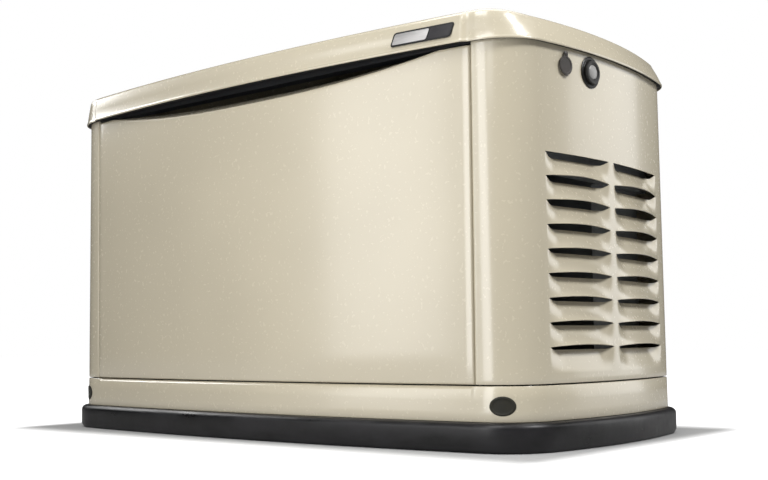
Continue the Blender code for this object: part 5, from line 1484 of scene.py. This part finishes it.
class GENERATOR_OT_fuel_and_air(bpy.types.Operator):
    """Model the air cleaner, regulator cover, hose clamps and grommet"""
    bl_idname = "generator.fuel_and_air"
    bl_label = "Fuel and air"

    def execute(self, context):
        low, high = box_of("air_cleaner_cover")
        parts = [block("air_cleaner_lid", low, (high.x, high.y, high.z - 0.0020), 0.005, 3)]
        for y in spread(low.y + 0.030, high.y - 0.030, 5):
            parts.append(block("rib", (low.x + 0.022, y - 0.004, high.z - 0.006),
                               (high.x - 0.022, y + 0.004, high.z), 0.0018))
        black, zinc = stock("moulded_abs_black"), stock("zinc_plate")
        settle(join("air_cleaner_lid", parts), black, "air_cleaner_cover",
               "air_cleaner_cover", slot="black_plastic")
        box_low, box_high = box_of("air_cleaner_box")
        for y, name in ((low.y, "front"), (high.y, "rear")):
            side = 1 if y > 0 else -1
            clip = [block("clip", (low.x + 0.083, min(y, y + side * 0.0016), box_high.z - 0.016),
                          (high.x - 0.083, max(y, y + side * 0.0016), high.z - 0.004), 0.0005),
                    block("clip", (low.x + 0.083, min(y - side * 0.006, y + side * 0.0016),
                                   high.z - 0.0065),
                          (high.x - 0.083, max(y - side * 0.006, y + side * 0.0016),
                           high.z - 0.0030), 0.0008)]
            settle(join("air_cleaner_clip_" + name, clip), zinc, "air_cleaner_cover",
                   slot="grey_steel")
        parts = [block("air_cleaner_body", box_low, (box_high.x, box_high.y, box_high.z - 0.006),
                       0.008, 3),
                 block("rim", (box_low.x - 0.003, box_low.y - 0.003, box_high.z - 0.008),
                       (box_high.x + 0.003, box_high.y + 0.003, box_high.z), 0.0015)]
        for x in spread(box_low.x + 0.025, box_high.x - 0.025, 5):
            for y in (box_low.y, box_high.y):
                parts.append(block("rib", (x - 0.002, y - 0.0025, box_low.z + 0.014),
                                   (x + 0.002, y + 0.0025, box_high.z - 0.007), 0.0008))
        settle(join("air_cleaner_body", parts), black, "enclosure", "air_cleaner_box",
               slot="black_plastic")
        low, high = box_of("fuel_regulator")
        middle = Vector((high.x, low.y + 0.040, low.z + 0.1150))
        dome = turned("regulator_dome",
                      [(0, -0.002), (0.0350, -0.002), (0.0360, 0), (0.0360, 0.003),
                       (0.0340, 0.004), (0.0270, 0.0045), (0.0250, 0.0065), (0.0230, 0.0100),
                       (0.0180, 0.0118), (0.0100, 0.0124), (0.0090, 0.0160), (0.0080, 0.0168),
                       (0, 0.0168)], axis_frame(middle, (1, 0, 0)), 56)
        settle(dome, stock("cast_aluminium"), "enclosure", slot="cast_aluminium")
        screws("regulator_screws", [middle + Vector((0.0040, 0.0305 * cos(a), 0.0305 * sin(a)))
                                    for a in (2 * pi * k / 6 for k in range(6))], (1, 0, 0),
               0.0026)
        wall = plan(("front", GAS_X, 0, True), -context.scene.generator_case.wall_inset, GAS_Z)
        grommet = tube("fuel_grommet", 0.0106, 0.0180, -0.0035, 0.0022,
                       axis_frame((GAS_X, wall.y, middle.z), (0, 1, 0)), 40, 0.0010)
        settle(grommet, stock("moulded_rubber_black"), "enclosure", slot="plug_rubber")
        hose_low, hose_high = box_of("fuel_hose")
        clamps = [((hose_high.x - 0.0080, hose_high.y - 0.0080, hose_low.z + 0.008), (0, 0, 1)),
                  ((hose_low.x + 0.014, 0.0, hose_high.z - 0.0080), (1, 0, 0))]
        for k, (place, along) in enumerate(clamps):
            stand = axis_frame(place, along)
            band = tube("band", 0.0081, 0.0094, -0.0045, 0.0045, stand, 32, 0.0004)
            worm = block("worm", (-0.0045, 0.0085, -0.0040), (0.0045, 0.0135, 0.0040), 0.0010)
            worm.data.transform(stand)
            settle(join("hose_clamp_" + "ab"[k], [band, worm]), zinc, "enclosure",
                   slot="grey_steel")
        return {"FINISHED"}


class GENERATOR_OT_rear_fixings(bpy.types.Operator):
    """Model the screws of the frame hinges and the rivets of the lid hinges"""
    bl_idname = "generator.rear_fixings"
    bl_label = "Rear fixings"

    def execute(self, context):
        case = context.scene.generator_case
        rise = 0.016   # height of the rivets up the lid's skirt
        grow = -case.lid_inset - case.lid_lean * (rise / case.lid_skirt) - 0.0011 + case.brow
        for _, name in SIDES:
            low, high = box_of("frame_hinge_" + name)
            middle = (low.x + high.x) / 2
            screws("hinge_screws_" + name, [(middle + dx, low.y + 0.0021, z)
                                            for dx in (-0.020, 0.020)
                                            for z in (low.z + 0.009, low.z + 0.026)],
                   (0, 1, 0), 0.0036)
            rivets = []
            for dx in (-0.019, 0.019):
                point = plan(("front", middle + dx, 0, True), grow, case.lid_edge + rise)
                rivets.append(turned("rivet", [(0, 0.0022), (0.0024, 0.0019), (0.0041, 0.0010),
                                               (0.0048, 0.0002), (0.0048, -0.0006), (0, -0.0006)],
                                     axis_frame(point, (0, 1, 0.08)), 24))
            settle(join("lid_rivets_" + name, rivets), coat_look(), "lid",
                   slot="enclosure_paint")
        return {"FINISHED"}


# --- finishes of the frame nodes that keep their shape ---------------------------------------

NODE_FINISHES = (
    ("moulded_abs_black", "air_cleaner_box air_cleaner_cover battery controller_faceplate "
                          "breaker breaker_toggle"),
    ("cast_aluminium", "crankcase cylinder_front cylinder_rear flywheel_fan "
                       "alternator_end_bell fuel_mixer fuel_regulator"),
    ("zinc_plate", "lock_right lock_left frame_hinge_right frame_hinge_left lid_hinge_right "
                   "lid_hinge_left exhaust_bulkhead crankshaft stator_can"),
    ("electrocoat_black", "front_header engine_cradle rocker_cover_front rocker_cover_rear "
                          "blower_housing starter_motor"),
    ("moulded_rubber_black", "isolator_front_left isolator_front_right isolator_rear_left "
                             "isolator_rear_right fuel_hose"),
    ("aluminised_steel", "muffler exhaust_manifold"),
    ("moulded_nylon_yellow", "oil_fill_cap dipstick"),
    ("enamel_grey", "control_console controller_cover"),
    ("silicone_grey", "button_off button_manual button_auto"),
    ("filter_enamel_white", "oil_filter"),
    ("lacquered_copper", "alternator_rotor"),
)


class GENERATOR_OT_node_finishes(bpy.types.Operator):
    """Paint the frame nodes that keep their own shape"""
    bl_idname = "generator.node_finishes"
    bl_label = "Frame finishes"

    def execute(self, context):
        for finish, names in NODE_FINISHES:
            for name in names.split():
                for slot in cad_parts[name].material_slots:
                    slot.material = stock(finish)
        return {"FINISHED"}


# --- stage -----------------------------------------------------------------------------------

class GENERATOR_OT_stage(bpy.types.Operator):
    """Set the floor with a soft shadow painted round the pad, soft studio lights and camera"""
    bl_idname = "generator.stage"
    bl_label = "Stage"

    def execute(self, context):
        deselect()
        bpy.ops.mesh.primitive_plane_add(size=24, location=(0, 0, -0.0005))
        floor = context.object
        floor.name = "floor"
        pale, tree, shader, place = start_finish("studio_floor", linear("#A8A8A8"), 0.8)
        shader.inputs["Emission Color"].default_value = (1, 1, 1, 1)
        # how far the floor point lies outside the pad: the floor glows white for the camera, and
        # the glow fades out towards the pad, a painted soft shadow round the pad's foot which ends
        # sooner beside the ends
        painted_shadow_reach, ends = 0.13, (1.6, 1, 1)
        outside = place
        for operation, *value in (("ABSOLUTE",), ("SUBTRACT", (HALF_LENGTH, HALF_DEPTH, 0)),
                                  ("MAXIMUM", (0, 0, 0)), ("MULTIPLY", ends)):
            links = dict(enumerate([outside, *value]))
            outside = add(tree, "VectorMath", links, operation=operation).outputs["Vector"]
        outside = add(tree, "VectorMath", {0: outside}, operation="LENGTH").outputs["Value"]
        # the glow is nothing at the pad's edge and full past the reach: painted shadow, darkest at
        # the pad
        level = add(tree, "MapRange", {"Value": outside, "From Max": painted_shadow_reach, "To Max": 1.0},
                    interpolation_type="SMOOTHSTEP")
        glow_with_painted_shadow = add(tree, "Math", {0: level.outputs["Result"],
                                  1: add(tree, "LightPath").outputs["Is Camera Ray"]},
                   operation="MULTIPLY")
        tree.links.new(glow_with_painted_shadow.outputs["Value"], shader.inputs["Emission Strength"])
        vary_roughness(tree, shader, grain(tree, place, 0.3), 0.75, 0.9)
        floor.data.materials.append(pale)
        self.backdrop(context)
        # azimuth from the front, height, distance, width, height of the panel, watts
        strips = (("front_strip", -24, 0.95, 3.2, 0.9, 2.0, 16),
                  ("front_softbox", 16, 2.3, 1.5, 1.0, 1.2, 25),
                  ("left_strip", -70, 1.9, 3.2, 0.45, 1.4, 12),
                  ("left_softbox", -82, 2.2, 3.0, 1.2, 1.2, 26),
                  ("rear_strip", 140, 0.95, 3.2, 1.6, 2.0, 16.5),
                  ("end_softbox", 90, 2.6, 2.6, 0.8, 0.8, 76))
        for name, azimuth, height, away, wide, tall, power in strips:
            turn = radians(azimuth)
            place = (away * sin(turn), -away * cos(turn), height)
            self.area(name, place, (0, 0, 0.45), (wide, tall), power)
        self.area("top_light", (0.1, 0.5, 2.9), (0.1, 0.1, 0), (2.4, 2.0), 34)
        self.area("near_strip", (0.36, -1.15, 0.48), (0.36, -0.3, 0.4), (0.32, 1.0), 4.4)
        self.area("corner_light", (0.7, -1.1, 0.9), (0.7, -0.3, 0.45), (0.2, 0.3), 0.4)
        self.camera(context)
        context.scene.view_settings.view_transform = "Standard"
        return {"FINISHED"}

    def backdrop(self, context):
        """White behind the object, with only a little of it as fill light."""
        world = bpy.data.worlds.new("studio")
        world.use_nodes = True
        tree = world.node_tree
        back = tree.nodes["Background"]
        back.inputs["Color"].default_value = (1, 1, 1, 1)
        seen = add(tree, "LightPath").outputs["Is Camera Ray"]
        level = add(tree, "MapRange", {"Value": seen, "To Min": 0.06, "To Max": 1.0})
        tree.links.new(level.outputs["Result"], back.inputs["Strength"])
        context.scene.world = world

    def area(self, name, place, target, size, power):
        """A soft panel of light at a place, aimed at a target."""
        lamp = bpy.data.lights.new(name, "AREA")
        lamp.shape = "RECTANGLE"
        lamp.size, lamp.size_y = size
        lamp.energy = power
        holder = bpy.data.objects.new(name, lamp)
        holder.location = place
        holder.visible_camera = False
        aim = Vector(target) - Vector(place)
        holder.rotation_euler = aim.to_track_quat("-Z", "Y").to_euler()
        bpy.context.scene.collection.objects.link(holder)

    def camera(self, context):
        """The camera, low off the near right corner."""
        yaw, pitch, roll = -0.6902, 0.0485, -0.0112
        ahead = Vector((sin(yaw) * cos(pitch), cos(yaw) * cos(pitch), sin(pitch)))
        right = Vector((cos(yaw), -sin(yaw), 0))
        up = right.cross(ahead)
        turned_right = right * cos(roll) + up * sin(roll)
        turned_up = up * cos(roll) - right * sin(roll)
        lens = bpy.data.cameras.new("camera")
        lens.lens, lens.sensor_width = 52.94, 36.0
        lens.shift_x, lens.shift_y = 0.0019, 0.0593
        camera = bpy.data.objects.new("camera", lens)
        matrix = Matrix((turned_right, turned_up, -ahead)).transposed().to_4x4()
        matrix.translation = Vector((1.5023, -1.7360, 0.1765))
        camera.matrix_world = matrix
        context.scene.collection.objects.link(camera)
        context.scene.camera = camera


class GENERATOR_PT_panel(bpy.types.Panel):
    """Sizes, colours and the build steps"""
    bl_idname = "GENERATOR_PT_panel"
    bl_label = "Home Standby Generator"
    bl_space_type = "VIEW_3D"
    bl_region_type = "UI"
    bl_category = "Generator"

    def draw(self, context):
        for group in ("generator_case", "generator_louvres", "generator_colours"):
            box = self.layout.box()
            settings = getattr(context.scene, group)
            for name in settings.__annotations__:
                box.prop(settings, name)
        for operator in OPERATORS:
            self.layout.operator(operator.bl_idname)


GROUPS = {"generator_case": CaseSizes, "generator_louvres": LouvreSizes,
          "generator_colours": Colours}
OPERATORS = (GENERATOR_OT_stage, GENERATOR_OT_pad, GENERATOR_OT_pan, GENERATOR_OT_plugs,
             GENERATOR_OT_end_panels, GENERATOR_OT_long_panels, GENERATOR_OT_lid,
             GENERATOR_OT_trim, GENERATOR_OT_battery, GENERATOR_OT_controls,
             GENERATOR_OT_engine, GENERATOR_OT_alternator, GENERATOR_OT_fuel_and_air,
             GENERATOR_OT_rear_fixings, GENERATOR_OT_node_finishes)


def register():
    for group in GROUPS.values():
        bpy.utils.register_class(group)
    for name, group in GROUPS.items():
        setattr(bpy.types.Scene, name, PointerProperty(type=group))
    for operator in OPERATORS:
        bpy.utils.register_class(operator)
    bpy.utils.register_class(GENERATOR_PT_panel)


def unregister():
    bpy.utils.unregister_class(GENERATOR_PT_panel)
    for operator in reversed(OPERATORS):
        bpy.utils.unregister_class(operator)
    for name, group in GROUPS.items():
        delattr(bpy.types.Scene, name)
        bpy.utils.unregister_class(group)


def main():
    register()
    for operator in OPERATORS:
        area, name = operator.bl_idname.split(".")
        getattr(getattr(bpy.ops, area), name)()


if __name__ == "__main__":
    main()
